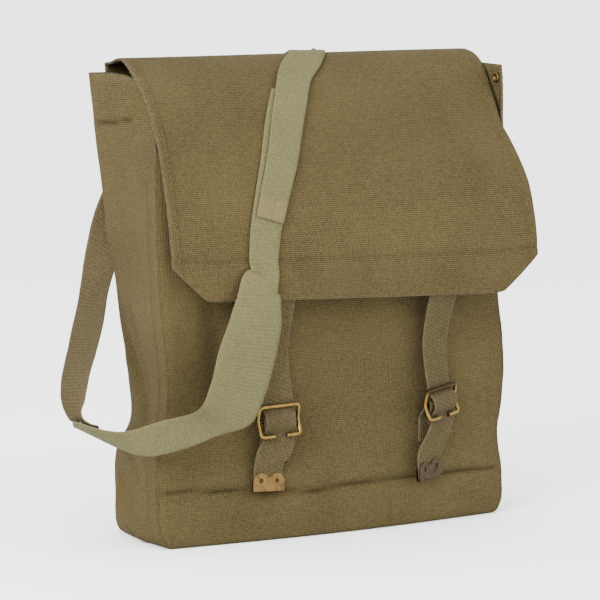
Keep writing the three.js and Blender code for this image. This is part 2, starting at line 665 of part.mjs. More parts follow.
function padStrap() {
  const stations = [];
  for (const along of [lapStart + 0.03, 0.51, 0.57, 0.65, 0.74, 0.82]) stations.push(onFlap(along, 1, strapWidth, 0));
  stations.push(onFlap(0.885, 1.2, mix(strapWidth, pinchWidth, 0.5), 0));
  stations.push(onFlap(0.925, 1.8, pinchWidth, 0));
  for (const row of padRoute) {
    stations.push({
      at: place(row.out, row.deep, row.up),
      across: pointing(row.turn, row.tilt),
      width: mix(strapWidth, padWidth, row.wide),
    });
  }
  return band(stations, webbing, 2);
}

function rearStrap() {
  const stations = rearRoute.map((row) => ({
    at: place(row.out, row.deep, row.up),
    across: pointing(row.turn, row.tilt),
    width: strapWidth,
  }));
  for (const row of rearOnBack) {
    const at = place(row.out, 0, row.up);
    at.y = backMost(at.x, at.z, strapWidth) + 2 * gap + webbing / 2 + row.off * bagDepth;
    stations.push({ at, across: pointing(180, rearLean), width: strapWidth });
  }
  return band(stations, webbing, 3);
}

// The buckles, each in its own place: the middle bar lies in a loop of the chape

// How far the middle bar stands in front of the front panel
const barLift = 2 * gap + webbing + gap + wireRadius;

function closingPlace(closing) {
  const x = closing.buckle * bagWidth / 2;
  const z = closing.buckleUp * bagHeight;
  const y = frontMost(x, z, buckleWidth, chapeLength) - barLift - closing.lift * bagDepth;
  const stand = new THREE.Object3D();
  stand.position.set(x, y, z);
  stand.rotation.set(0, -degrees(closing.roll), degrees(closing.turn), 'ZYX');
  stand.updateMatrix();
  return stand;
}

// A station in a buckle's own place, so far in front of its middle bar and above it
function atBuckle(closing, out, up, width) {
  const at = new THREE.Vector3(0, -out, up).applyMatrix4(closingPlace(closing).matrix);
  return { at, across: pointing(closing.turn, closing.roll), width };
}

function buckleGeometry() {
  const half = buckleWidth / 2 - wireRadius;
  const rise = buckleHeight / 2 - wireRadius;
  const prong = prongGap / 2;
  const bend = buckleCorner;
  const notch = -notchDepth;
  const path = [
    [-prong, -buckleBend, -rise], [-half + bend, -buckleBend, -rise], [-half + bend / 4, -buckleBend, -rise + bend / 4],
    [-half, -buckleBend - notch, -rise + bend], [-half, notch, -notchHeight], [-half, notch, notchHeight],
    [-half, -buckleBend - notch, rise - bend], [-half + bend / 4, -buckleBend, rise - bend / 4],
    [-half + bend, -buckleBend, rise],
  ].map(([x, y, z]) => new THREE.Vector3(x, y, z));
  const mirrored = path.map((p) => new THREE.Vector3(-p.x, p.y, p.z)).reverse();
  const frame = toSolid(wire([...path, ...mirrored], wireRadius, 8));
  const bar = toSolid(wire([new THREE.Vector3(-half, 0, 0), new THREE.Vector3(half, 0, 0)], wireRadius * 0.9, 8));
  return fromSolid(frame.add(bar));
}

// The webbing loop round the middle bar: its back layer is sewn on the front panel
function chapeGeometry(closing) {
  const bar = closingPlace(closing).position;
  const radius = wireRadius + 2 * gap + webbing / 2;
  const stations = [];
  for (const share of [1, 0.85, 0.7, 0.55, 0.4]) {
    const x = bar.x + closing.chapeShift * share * bagWidth / 2;
    const z = bar.z - chapeLength * share;
    const at = new THREE.Vector3(x, frontMost(x, z, chapeWidth, chapeLength * 0.15) - 2 * gap - webbing / 2, z);
    stations.push({ at, across: pointing(0, closing.roll / 2), width: chapeWidth });
  }
  for (const angle of [-20, 20, 60, 100, 140]) {
    const out = -radius * Math.cos(degrees(angle));
    stations.push(atBuckle(closing, out, radius * Math.sin(degrees(angle)), chapeWidth));
  }
  for (const row of chapeFront) {
    stations.push(atBuckle(closing, row.out, -row.down * buckleHeight, chapeWidth));
  }
  return band(stations, webbing, 1);
}

// A place behind the flap, against its inner face, with the direction across it
function behindFlap(x, z) {
  const half = closingWidth / 2;
  const left = flapDepth(x - half, z);
  const right = flapDepth(x + half, z);
  const under = flapThickness / 2 + 2 * gap + webbing / 2;
  const y = Math.max((left + right) / 2, flapDepth(x, z)) + under;
  return { at: new THREE.Vector3(x, y, z), across: new THREE.Vector3(closingWidth, right - left, 0).normalize() };
}

// How far a piece of some width stands out where it is turned about the vertical
function turnedReach(width, turn) {
  return width / 2 * Math.abs(Math.sin(degrees(turn)));
}

// The strap's middle in its tip stands this far in front of the front panel
const tipRest = 5 * gap + tipPlate + webbing / 2;

function tipPlace(closing) {
  const x = closing.tip * bagWidth / 2;
  const z = closing.tipUp * bagHeight;
  const y = frontMost(x, z, tipWidth, tipHeight) - tipRest - turnedReach(tipWidth, closing.tipTurn);
  const stand = new THREE.Object3D();
  stand.position.set(x, y, z);
  stand.rotation.set(0, -degrees(closing.tipRoll), degrees(closing.tipTurn), 'ZYX');
  stand.updateMatrix();
  return stand;
}

function closingStations(closing) {
  const bar = closingPlace(closing).position;
  const flapEdge = flapMiddle(0.5, 1).z;
  const rise = buckleHeight / 2;
  const stations = [];
  for (const up of [hemHeight * 0.9, hemHeight * 0.5, hemHeight * 0.1]) {
    stations.push({ ...behindFlap(closing.seam * bagWidth / 2, flapEdge + up), width: closingWidth });
  }
  const middleX = closing.middle * bagWidth / 2;
  const middleZ = mix(flapEdge, bar.z + rise, 0.5);
  const middleY = mix(frontFace(middleX, middleZ), flapDepth(middleX, flapEdge), 0.45);
  stations.push({
    at: new THREE.Vector3(middleX, middleY, middleZ),
    across: pointing(closing.turn / 2, closing.roll),
    width: closingWidth,
  });
  const over = wireRadius + 1.5 * gap + webbing + 1.5 * gap + webbing / 2 + closing.slack * bagDepth;
  const behind = buckleBend - wireRadius - 2 * gap - webbing / 2;
  const through = [
    { up: rise * 1.5, out: behind * 0.6 }, { up: rise * 1.05, out: behind * 0.85 }, { up: rise * 0.74, out: behind },
    { up: rise * 0.28, out: over }, { up: -rise * 0.28, out: over },
    { up: -rise * 0.74, out: behind }, { up: -rise * 1.05, out: behind }, { up: -rise * 1.3, out: behind },
  ];
  for (const row of through) stations.push(atBuckle(closing, row.out, row.up, closingWidth));
  const tip = tipPlace(closing);
  const lowX = closing.below * bagWidth / 2;
  const lowZ = mix(bar.z, tip.position.z, 0.58);
  const lowTurn = (closing.turn + closing.tipTurn) / 2;
  const chapeFace = frontMost(lowX, lowZ, closingWidth, tipHeight) - 2 * gap - webbing;
  stations.push({
    at: new THREE.Vector3(lowX, chapeFace - tipRest - turnedReach(closingWidth, lowTurn), lowZ),
    across: pointing(lowTurn, closing.tipRoll / 2),
    width: closingWidth,
  });
  for (const share of [0.75, 0.5, 0, -0.4]) {
    stations.push({
      at: new THREE.Vector3(0, 0, share * tipHeight).applyMatrix4(tip.matrix),
      across: pointing(closing.tipTurn, closing.tipRoll),
      width: tipWidth - 2 * tipPlate,
    });
  }
  return stations;
}

// A folded plate over the strap's end: two lobes above, two holes, front and back alike
function tipGeometry() {
  const half = tipWidth / 2;
  const low = -tipHeight / 2;
  const high = tipHeight / 2;
  const lobe = half / 2;
  const outline = new THREE.Shape();
  outline.moveTo(-half, low);
  outline.lineTo(half, low);
  outline.lineTo(half, high - lobe);
  outline.absarc(lobe, high - lobe, lobe, 0, Math.PI * 0.8, false);
  outline.absarc(-lobe, high - lobe, lobe, Math.PI * 0.2, Math.PI, false);
  outline.closePath();
  for (const side of [-1, 1]) {
    const hole = new THREE.Path();
    hole.absarc(side * tipHoleSpacing / 2, high - tipHoleDown, tipHole / 2, 0, 2 * Math.PI, true);
    outline.holes.push(hole);
  }
  const plate = new THREE.ExtrudeGeometry(outline, { depth: tipPlate, bevelEnabled: false, curveSegments: 5 });
  plate.rotateX(Math.PI / 2);
  const apart = webbing / 2 + 2.2 * gap;
  const front = plate.clone().translate(0, -apart, 0);
  const back = plate.clone().translate(0, apart + tipPlate, 0);
  const foldDepthAll = 2 * (apart + tipPlate);
  const fold = new THREE.BoxGeometry(tipWidth, foldDepthAll, tipPlate).translate(0, 0, low - tipPlate / 2 + tipMerge);
  return fromSolid(toSolid(front).add(toSolid(back)).add(toSolid(fold)));
}

// Eyelets

// The eyelet's place in the right weather flap, and the way it faces
function eyeletFrame() {
  const side = bagSides[1];
  const along = eyeletFromFront / (bagDepth - 2 * cornerRadius);
  const z = rimAt(side.name, along).up * bagHeight - eyeletFromTop;
  const reach = eyeletFlange / 4;
  const step = reach / bagDepth;
  const sideways = wallPoint(side, along + step, z).sub(wallPoint(side, along - step, z));
  const upward = wallPoint(side, along, z + reach).sub(wallPoint(side, along, z - reach));
  const outward = new THREE.Vector3().crossVectors(sideways, upward).normalize();
  return { at: wallPoint(side, along, z).addScaledVector(outward, -canvasWall / 2), outward };
}

function eyeletGeometry() {
  const barrel = eyeletHole / 2 + eyeletRim;
  const reach = canvasWall / 2 + 3 * gap;
  const profile = [
    [eyeletHole / 2, -reach - eyeletLip], [eyeletFlange / 2, -reach - eyeletLip], [eyeletFlange / 2, -reach], [barrel, -reach],
    [barrel, reach], [eyeletFlange / 2, reach], [eyeletFlange / 2, reach + eyeletLip], [eyeletHole / 2, reach + eyeletLip],
    [eyeletHole / 2, -reach - eyeletLip],
  ].map(([x, y]) => new THREE.Vector2(x, y));
  return closedLathe(profile, 16);
}

// A lathe whose profile closes on itself, as one closed mesh
function closedLathe(profile, sides) {
  const count = profile.length - 1;
  const points = [];
  for (let k = 0; k < sides; k += 1) {
    const angle = 2 * Math.PI * k / sides;
    for (let i = 0; i < count; i += 1) {
      points.push(new THREE.Vector3(profile[i].x * Math.cos(angle), profile[i].y, profile[i].x * Math.sin(angle)));
    }
  }
  const triangles = [];
  for (let k = 0; k < sides; k += 1) {
    for (let i = 0; i < count; i += 1) {
      const a = k * count + i;
      const b = k * count + (i + 1) % count;
      const c = ((k + 1) % sides) * count + (i + 1) % count;
      const d = ((k + 1) % sides) * count + i;
      triangles.push([a, b, c], [a, c, d]);
    }
  }
  return closedMesh(points, triangles);
}

// Materials

const canvas = new THREE.MeshStandardMaterial({ color: 0x7b6d4b, roughness: 0.95, metalness: 0 });
const olive = new THREE.MeshStandardMaterial({ color: 0x7a6c4f, roughness: 0.9, metalness: 0 });
const sage = new THREE.MeshStandardMaterial({ color: 0x9e9a76, roughness: 0.85, metalness: 0 });
const brass = new THREE.MeshStandardMaterial({ color: 0xc09a58, roughness: 0.35, metalness: 1 });
const dullBrass = new THREE.MeshStandardMaterial({ color: 0x60513d, roughness: 0.5, metalness: 1 });

function piece(name, geometry, material) {
  const mesh = new THREE.Mesh(geometry, material);
  mesh.name = name;
  return mesh;
}

// The pack

const pack = new THREE.Group();

const eyelet = piece('eyelet_right', eyeletGeometry(), brass);
const eyeletStand = eyeletFrame();
eyelet.position.copy(eyeletStand.at);
eyelet.quaternion.setFromUnitVectors(new THREE.Vector3(0, 1, 0), eyeletStand.outward);
eyelet.updateMatrixWorld();
pack.add(eyelet);

const eyeletHoleRadius = eyeletHole / 2 + eyeletRim + gap;
const drill = new THREE.CylinderGeometry(eyeletHoleRadius, eyeletHoleRadius, canvasWall * 4, 16);
const drilledBag = toSolid(bagGeometry()).subtract(toSolid(drill.applyMatrix4(eyelet.matrixWorld)));
pack.add(piece('pack_body', fromSolid(drilledBag), canvas));
pack.add(piece('cover_flap', flapGeometry(), canvas));
pack.add(piece('shoulder_strap_upper', upperStrap(), sage));
pack.add(piece('shoulder_strap_pad', padStrap(), sage));
pack.add(piece('shoulder_strap_rear', rearStrap(), olive));

for (const closing of closings) {
  const metal = closing.name === 'left' ? brass : dullBrass;
  pack.add(piece(`closing_strap_${closing.name}`, band(closingStations(closing), webbing, 2), olive));
  pack.add(piece(`buckle_chape_${closing.name}`, chapeGeometry(closing), olive));
  const buckle = piece(`buckle_${closing.name}`, buckleGeometry(), brass);
  closingPlace(closing).matrix.decompose(buckle.position, buckle.quaternion, buckle.scale);
  pack.add(buckle);
  const end = piece(`strap_tip_${closing.name}`, tipGeometry(), metal);
  tipPlace(closing).matrix.decompose(end.position, end.quaternion, end.scale);
  pack.add(end);
}

export default pack;
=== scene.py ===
import math

import bmesh
import bpy
import numpy as np
from mathutils import Matrix, Vector, noise


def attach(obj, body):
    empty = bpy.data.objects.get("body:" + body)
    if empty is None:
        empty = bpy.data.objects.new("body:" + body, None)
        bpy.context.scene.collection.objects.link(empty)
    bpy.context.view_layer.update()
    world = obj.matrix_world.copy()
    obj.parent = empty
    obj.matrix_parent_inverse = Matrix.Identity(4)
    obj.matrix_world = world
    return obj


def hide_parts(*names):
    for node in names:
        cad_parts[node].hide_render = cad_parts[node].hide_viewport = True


bl_info = {
    "name": "Canvas Field Pack",
    "version": (1, 0, 0),
    "blender": (4, 5, 0),
    "location": "View3D > Sidebar > Field Pack",
    "description": "Builds a canvas field pack with webbing straps and brass fittings",
    "category": "Object",
}

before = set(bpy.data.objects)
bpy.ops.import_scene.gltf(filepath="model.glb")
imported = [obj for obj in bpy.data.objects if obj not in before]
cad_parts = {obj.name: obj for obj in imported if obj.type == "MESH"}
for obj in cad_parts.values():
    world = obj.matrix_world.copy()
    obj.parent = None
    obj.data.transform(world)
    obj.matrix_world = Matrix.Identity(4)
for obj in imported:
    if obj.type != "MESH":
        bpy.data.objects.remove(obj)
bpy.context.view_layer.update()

# ---- Measures of the pack, in millimetres as on the maker's pattern ----

MM = 0.001
BAG_WIDTH, BAG_DEPTH, BAG_HEIGHT = 330.0, 100.0, 366.0
FRONT_HEIGHT = 302.0        # the front panel ends here, under the flap
CANVAS = 2.0                # wall thickness
CORNER = 7.0                # radius of the sewn upright edges
FLAP_CUT, FLAP_LENGTH, FLAP_THICK = 29.0, 292.0, 2.0
HEM = 33.0                  # the flap's hem is this deep
SIDE_HEM = 9.0              # its side edges are folded over by this much
STITCH, STITCH_STEP = 2.6, 4.4      # length of a stitch on the face, and from one to the next
WEBBING = 1.6
CLOSING_WIDTH, STRAP_WIDTH, PAD_WIDTH, LAP_WIDTH = 26.0, 31.0, 56.0, 24.0
CHAPE_WIDTH, CHAPE_LENGTH = 26.0, 34.0
WIRE = 1.6                  # radius of the buckles' wire
BUCKLE_WIDTH, BUCKLE_HEIGHT, BUCKLE_BEND, BUCKLE_ROUND, PRONG_GAP = 37.0, 27.0, 4.8, 3.4, 10.0
TIP_PLATE, TIP_WIDTH, TIP_HEIGHT = 0.7, 28.0, 14.2
TIP_HOLE, TIP_SPACING, TIP_HOLE_DOWN, TIP_BEVEL = 4.0, 14.3, 6.0, 0.2
EYELET_FLANGE, EYELET_HOLE, EYELET_RIM = 8.0, 4.0, 0.5
EYELET_FROM_TOP, EYELET_FROM_FRONT = 11.0, 4.0
GAP = 0.3                   # between pieces that touch
GRID_SPACING = 3.6          # between the lines of the bag's mesh
FOOT_ROUND = 5.0            # radius of the bag's foot
FACE_POINTS = 15            # points across a face of a strap


def rows(columns, *values):
    """A table with named columns, each an array."""
    grid = np.array(values, float)
    return {name: grid[:, i] for i, name in enumerate(columns.split())}


# The bag's corners at each height, in shares of half its width, half its depth and its height,
# then how far each side swells out, in shares of its depth
BAG = rows(
    "up flx fly frx fry brx bry blx bly front right back left",
    (0.000, -0.965, -1.18, 0.955, -1.07, 0.970, 0.88, -0.920, 0.76, 0.09, 0.02, 0.01, 0.03),
    (0.033, -1.010, -1.14, 0.985, -1.07, 0.985, 0.92, -0.930, 0.84, 0.10, 0.03, 0.02, 0.01),
    (0.096, -1.020, -1.10, 0.990, -1.05, 0.980, 0.92, -0.935, 0.82, 0.10, 0.03, 0.03, 0.02),
    (0.186, -1.000, -1.03, 0.968, -1.01, 0.960, 0.90, -0.940, 0.72, 0.07, 0.00, 0.04, 0.02),
    (0.254, -0.955, -1.00, 0.992, -1.00, 0.950, 0.88, -0.868, 0.66, 0.05, -0.02, 0.04, 0.02),
    (0.366, -0.945, -1.00, 1.012, -1.00, 0.950, 0.88, -0.868, 0.78, 0.05, -0.03, 0.04, 0.02),
    (0.530, -0.980, -1.00, 0.976, -1.00, 0.970, 0.92, -0.910, 0.90, 0.04, -0.02, 0.03, 0.00),
    (0.820, -1.000, -1.00, 0.992, -1.00, 0.990, 1.00, -0.985, 1.02, 0.00, 0.00, 0.01, -0.02),
    (1.000, -1.000, -1.00, 1.000, -1.00, 1.000, 1.02, -1.018, 1.12, 0.00, 0.00, 0.00, 0.00),
)
SIDES = (("front", "fl", "fr"), ("right", "fr", "br"), ("back", "br", "bl"), ("left", "bl", "fl"))
# The top edges of the two sides: height as a share, and how far the cloth is rolled in
LEFT_RIM = rows(
    "along up roll",
    (0.00, 1.000, 0.00),
    (0.48, 1.000, 0.01),
    (0.64, 0.990, 0.05),
    (0.82, 0.952, 0.12),
    (0.94, 0.905, 0.07),
    (1.00, 0.860, 0.02),
)
RIGHT_RIM = rows(
    "along up roll",
    (0.00, 1.009, 0.00),
    (0.30, 1.012, 0.00),
    (0.60, 1.016, 0.00),
    (1.00, 1.000, 0.00),
)
RIMS = {"left": LEFT_RIM, "right": RIGHT_RIM}
# Folds: each runs along a side between two places (share of its width, share of the height),
# with a reach and a depth in shares of the bag's depth; a negative depth is a valley
FOLDS = {
    "front": (
        (0.00, 0.122, 0.42, 0.094, 0.045, -0.035),
        (0.42, 0.094, 0.78, 0.106, 0.045, -0.035),
        (0.78, 0.106, 1.00, 0.100, 0.045, -0.030),
        (0.13, 0.500, 0.12, 0.200, 0.130, -0.045),
        (0.97, 0.190, 0.90, 0.170, 0.060, -0.025),
    ),
    "left": (
        (0.05, 0.440, 0.30, 0.350, 0.090, -0.060),
        (0.30, 0.350, 0.62, 0.220, 0.090, -0.060),
        (0.25, 0.125, 0.15, 0.075, 0.060, 0.045),
        (0.15, 0.075, 0.60, 0.020, 0.060, 0.045),
        (0.10, 0.920, 0.85, 0.915, 0.035, -0.020),
    ),
    "right": ((0.40, 0.550, 0.55, 0.200, 0.120, -0.050),),
    "back": (),
}
# Sharper creases that only the cloth shows
CREASES = {
    "front": (
        (0.00, 0.1235, 0.42, 0.098, 0.012, -0.020),
        (0.42, 0.098, 0.60, 0.108, 0.012, -0.020),
        (0.60, 0.108, 0.99, 0.104, 0.012, -0.018),
        (0.20, 0.160, 0.52, 0.130, 0.050, 0.010),
        (0.55, 0.260, 0.80, 0.230, 0.060, -0.010),
        (0.82, 0.210, 0.99, 0.250, 0.050, 0.012),
        (0.03, 0.060, 0.12, 0.020, 0.040, -0.018),
        (0.86, 0.060, 0.97, 0.020, 0.040, -0.015),
    ),
    "left": (
        (0.02, 0.890, 0.60, 0.905, 0.016, -0.022),
        (0.05, 0.865, 0.50, 0.870, 0.040, 0.012),
        (0.30, 0.500, 0.62, 0.330, 0.035, -0.020),
        (0.50, 0.300, 0.88, 0.180, 0.035, -0.022),
        (0.20, 0.210, 0.70, 0.150, 0.040, -0.020),
        (0.60, 0.080, 0.95, 0.040, 0.035, 0.025),
        (0.14, 0.135, 0.07, 0.075, 0.018, -0.030),
        (0.07, 0.075, 0.40, 0.015, 0.018, -0.030),
        (0.90, 0.000, 0.90, 0.780, 0.011, -0.014),
    ),
    "right": (
        (0.10, 0.420, 0.85, 0.360, 0.040, -0.020),
        (0.15, 0.160, 0.90, 0.210, 0.040, -0.022),
        (0.10, 0.060, 0.85, 0.050, 0.035, 0.018),
    ),
    "back": (
        (0.10, 0.180, 0.55, 0.130, 0.045, -0.018),
        (0.45, 0.130, 0.92, 0.170, 0.045, -0.018),
        (0.30, 0.520, 0.35, 0.250, 0.110, -0.020),
    ),
}
# The cover flap's two side edges along its length, in shares as above
FLAP = rows(
    "along lo ld lu ro rd ru",
    (0.00, -0.900, 1.14, 0.943, 0.950, 1.08, 0.943),
    (0.07, -0.905, 1.16, 1.011, 0.950, 1.08, 1.012),
    (0.12, -0.920, 0.88, 1.020, 0.955, 0.92, 1.027),
    (0.18, -0.955, 0.48, 1.029, 0.955, 0.54, 1.036),
    (0.26, -0.985, 0.10, 1.028, 0.972, 0.02, 1.038),
    (0.35, -1.000, -0.32, 0.997, 0.978, -0.36, 1.011),
    (0.45, -1.000, -0.72, 0.940, 0.965, -0.76, 0.940),
    (0.53, -1.000, -0.94, 0.888, 0.955, -1.00, 0.887),
    (0.61, -1.000, -1.12, 0.835, 0.988, -1.21, 0.833),
    (0.73, -0.982, -1.22, 0.743, 1.036, -1.46, 0.743),
    (0.89, -0.958, -1.27, 0.607, 1.048, -1.64, 0.600),
    (1.00, -0.952, -1.27, 0.524, 1.042, -1.56, 0.508),
)
FLAP_SWELL, SEAM = 0.03, 0.07       # share of the depth, and of the length that is sewn to the back
# The middle of the shoulder strap on the flap, in shares of its length and width
STRAP_ON_FLAP = rows(
    "along across",
    (0.000, 0.625), (0.070, 0.600), (0.120, 0.575), (0.180, 0.550), (0.220, 0.531),
    (0.300, 0.495), (0.366, 0.450), (0.415, 0.419), (0.475, 0.388), (0.602, 0.331),
    (0.741, 0.275), (0.854, 0.244), (0.940, 0.236),
)
LAP_START, LAP_END, LAP_LAYERS = 0.415, 0.79, 2.3
# The upper strap draws in below the ridge: along the flap, width and sideways shift
UPPER_TAPER = ((0.19, 30.0, 1.5), (0.25, 29.5, 1.0), (0.31, 28.2, -0.8), (0.37, 27.5, -2.8))
# The sage strap under the lap: along the flap, layers below it, width and sideways shift
UNDER_LAP = (
    (LAP_START + 0.03, 1, 31.0, -3.4), (0.51, 1, 31.0, -3.4), (0.57, 1, 30.5, -3.2), (0.65, 1, 29.5, -2.8),
    (0.74, 1, 28.0, -2.4), (0.82, 1, 26.8, -2.2), (0.885, 1.2, 25.2, -1.8), (0.925, 1.8, 24.5, -0.8),
)
# The upper strap's lap: along the flap, width and sideways shift
UPPER_LAP = (
    (LAP_START, 27.5, -3.2), (0.45, 27.5, -2.6), (0.53, 27.3, -1.0), (0.62, 26.8, -0.3), (0.71, 25.5, -0.7),
    (LAP_END, LAP_WIDTH, -1.3),
)
# The sage strap below the flap: place in shares, width between narrow (0) and pad (1),
# and the direction across it as a turn and a tilt in degrees
PAD_ROUTE = (
    (-0.521, -1.51, 0.557, 0.10, 0, 4),
    (-0.543, -1.56, 0.528, 0.38, 0, -3),
    (-0.562, -1.58, 0.475, 0.75, 3, -7),
    (-0.612, -1.60, 0.413, 1.00, 6, -9),
    (-0.654, -1.62, 0.352, 1.00, 9, -13),
    (-0.713, -1.66, 0.298, 0.95, 10, -19),
    (-0.752, -1.68, 0.284, 0.80, 9, -23),
    (-0.818, -1.72, 0.279, 0.30, 10, -30),
    (-0.885, -1.74, 0.273, 0.05, 14, -38),
    (-0.958, -1.72, 0.264, 0.00, 20, -50),
    (-1.036, -1.64, 0.255, 0.00, 28, -57),
    (-1.115, -1.46, 0.243, 0.00, 38, -56),
    (-1.162, -1.15, 0.235, 0.00, 46, -43),
    (-1.220, -1.00, 0.242, 0.00, 53, -32),
    (-1.272, -0.85, 0.253, 0.00, 63, -22),
    (-1.309, -0.74, 0.261, 0.00, 63, -19),
    (-1.345, -0.63, 0.269, 0.00, 62, -17),
    (-1.375, -0.54, 0.275, 0.00, 60, -15),
)
# The olive strap from the far left up to the back: place in shares, turn and tilt in degrees
REAR_ROUTE = (
    (-1.2715, -0.814, 0.2593, 57, -24),
    (-1.2935, -0.750, 0.2641, 56, -22),
    (-1.3105, -0.690, 0.2710, 57, -18),
    (-1.3260, -0.630, 0.2790, 64, -12),
    (-1.3380, -0.590, 0.2870, 76, -5),
    (-1.3420, -0.530, 0.2990, 88, -2),
    (-1.3320, -0.400, 0.3250, 93, 0),
    (-1.2910, -0.170, 0.3590, 95, -1),
    (-1.1470, 0.410, 0.4320, 101, -2),
    (-1.000, 1.04, 0.508, 108, -8),
    (-0.890, 1.34, 0.612, 124, 0),
    (-0.800, 1.44, 0.700, 148, 14),
    (-0.720, 1.34, 0.775, 168, 22),
)
# and its end on the bag's back: place across and up in shares, and off the cloth
REAR_ON_BACK = ((-0.652, 0.835, 0.05), (-0.620, 0.865, 0.01), (-0.585, 0.900, 0.00))
REAR_LEAN = 24
CLOSINGS = (
    dict(name="left", seam=-0.380, middle=-0.397, buckle=-0.380, below=-0.425, tip=-0.441,
         buckle_up=0.260, tip_up=0.129, roll=3, turn=-7, tip_roll=-3, tip_turn=0, lift=0.025, slack=0.010,
         chape_shift=0.0),
    dict(name="right", seam=0.524, middle=0.517, buckle=0.545, below=0.522, tip=0.475,
         buckle_up=0.271, tip_up=0.124, roll=8, turn=12, tip_roll=8, tip_turn=16, lift=0.045, slack=0.025,
         chape_shift=-0.02),
)
# The chape in front of its buckle: down in shares of the buckle's height, and out in millimetres
CHAPE_FRONT = ((0.02, 2.9), (0.12, 2.4), (0.22, 1.4), (0.31, 0.2), (0.40, -0.8), (0.60, -1.2))
BAR_LIFT = 3 * GAP + WEBBING + WIRE


# ---- Curves and surfaces ----

def smooth(value):
    t = np.clip(value, 0, 1)
    return t * t * (3 - 2 * t)


def mix(a, b, share):
    return a + (b - a) * share


def hill(away, reach):
    """1 at no distance, falling softly to nothing past its reach."""
    return np.exp(-(away / reach) ** 2)


def follow(table, column, at):
    """Every column of a table where one column has a value, on a smooth curve through its rows."""
    keys = table[column]
    at = np.atleast_1d(np.asarray(at, float))
    last = len(keys) - 1
    i = np.clip(np.searchsorted(keys, at, side="left") - 1, 0, last - 1)
    span = keys[i + 1] - keys[i]
    t = np.clip((at - keys[i]) / span, 0, 1)
    found = {}
    for name, values in table.items():
        before, after = np.maximum(np.arange(last + 1) - 1, 0), np.minimum(np.arange(last + 1) + 1, last)
        slopes = (values[after] - values[before]) / (keys[after] - keys[before])
        found[name] = (values[i] * (1 + 2 * t) * (1 - t) ** 2 + slopes[i] * span * t * (1 - t) ** 2
                       + values[i + 1] * t * t * (3 - 2 * t) + slopes[i + 1] * span * t * t * (t - 1))
    return found


def unit(vectors):
    return vectors / np.maximum(np.linalg.norm(vectors, axis=-1, keepdims=True), 1e-12)


def rim_height(side, along):
    """The height of the top edge of one side, and how far its cloth is rolled inwards."""
    if side == "front":
        return np.full_like(along, FRONT_HEIGHT), np.zeros_like(along)
    if side in RIMS:
        found = follow(RIMS[side], "along", along)
        return found["up"] * BAG_HEIGHT, found["roll"]
    return np.full_like(along, BAG_HEIGHT), np.zeros_like(along)


def fold_depth(folds, along, z, width):
    ridge, valley = np.zeros_like(along), np.zeros_like(along)
    for a, a_up, b, b_up, reach, height in folds:
        start = np.stack([a * width, np.full_like(width, a_up * BAG_HEIGHT)], -1)
        run = np.stack([b * width, np.full_like(width, b_up * BAG_HEIGHT)], -1) - start
        here = np.stack([along * width, z], -1) - start
        share = np.clip((here * run).sum(-1) / (run ** 2).sum(-1), 0, 1)
        away = np.linalg.norm(here - share[:, None] * run, axis=-1)
        depth = height * BAG_DEPTH * hill(away, reach * BAG_DEPTH)
        ridge, valley = np.maximum(ridge, depth), np.minimum(valley, depth)
    return ridge + valley


def wall(side, along, z, dressed=False):
    """Points on the outside of one side of the bag: along is a share of its width."""
    name, start, end = SIDES[side]
    along, z = np.broadcast_arrays(np.asarray(along, float), np.asarray(z, float))
    along, z = along.ravel(), z.ravel()
    row = follow(BAG, "up", z / BAG_HEIGHT)
    a = np.stack([row[start + "x"] * BAG_WIDTH / 2, row[start + "y"] * BAG_DEPTH / 2], -1)
    b = np.stack([row[end + "x"] * BAG_WIDTH / 2, row[end + "y"] * BAG_DEPTH / 2], -1)
    width = np.linalg.norm(b - a, axis=-1)
    direction = (b - a) / width[:, None]
    outward = np.stack([direction[:, 1], -direction[:, 0]], -1)
    inset = CORNER / width
    fade = smooth(6 * along) * smooth(6 * (1 - along))
    rim, roll = rim_height(name, along)
    low = FRONT_HEIGHT / BAG_HEIGHT - 0.04
    rolled = roll * BAG_DEPTH * smooth((z / BAG_HEIGHT - low) / (rim / BAG_HEIGHT - low))
    out = row[name] * BAG_DEPTH * np.sin(np.pi * along)
    out = out + fade * fold_depth(FOLDS[name], along, z, width) - rolled
    if dressed:
        out = out + smooth(10 * along) * smooth(10 * (1 - along)) * fold_depth(CREASES[name], along, z, width)
    share = inset + (1 - 2 * inset) * along
    spot = a + share[:, None] * (b - a) + out[:, None] * outward
    return np.column_stack([spot, z])


FRONT, RIGHT, BACK, LEFT = range(4)


def face_depth(side, x, z):
    """How deep the outside of the front or the back lies at a place."""
    _, start, end = SIDES[side]
    row = follow(BAG, "up", np.atleast_1d(z) / BAG_HEIGHT)
    inward = CORNER if side == FRONT else -CORNER
    first = row[start + "x"] * BAG_WIDTH / 2 + inward
    last = row[end + "x"] * BAG_WIDTH / 2 - inward
    return wall(side, np.clip((x - first) / (last - first), 0, 1), z)[:, 1]


SPREAD = np.array([-0.5, -0.25, 0, 0.25, 0.5])


def front_most(x, z, width, height=0.0):
    across, up = np.meshgrid(SPREAD * width, SPREAD * height)
    return face_depth(FRONT, x + across.ravel(), z + up.ravel()).min()


def back_most(x, z, width):
    return face_depth(BACK, x + SPREAD * width, np.full(len(SPREAD), float(z))).max()


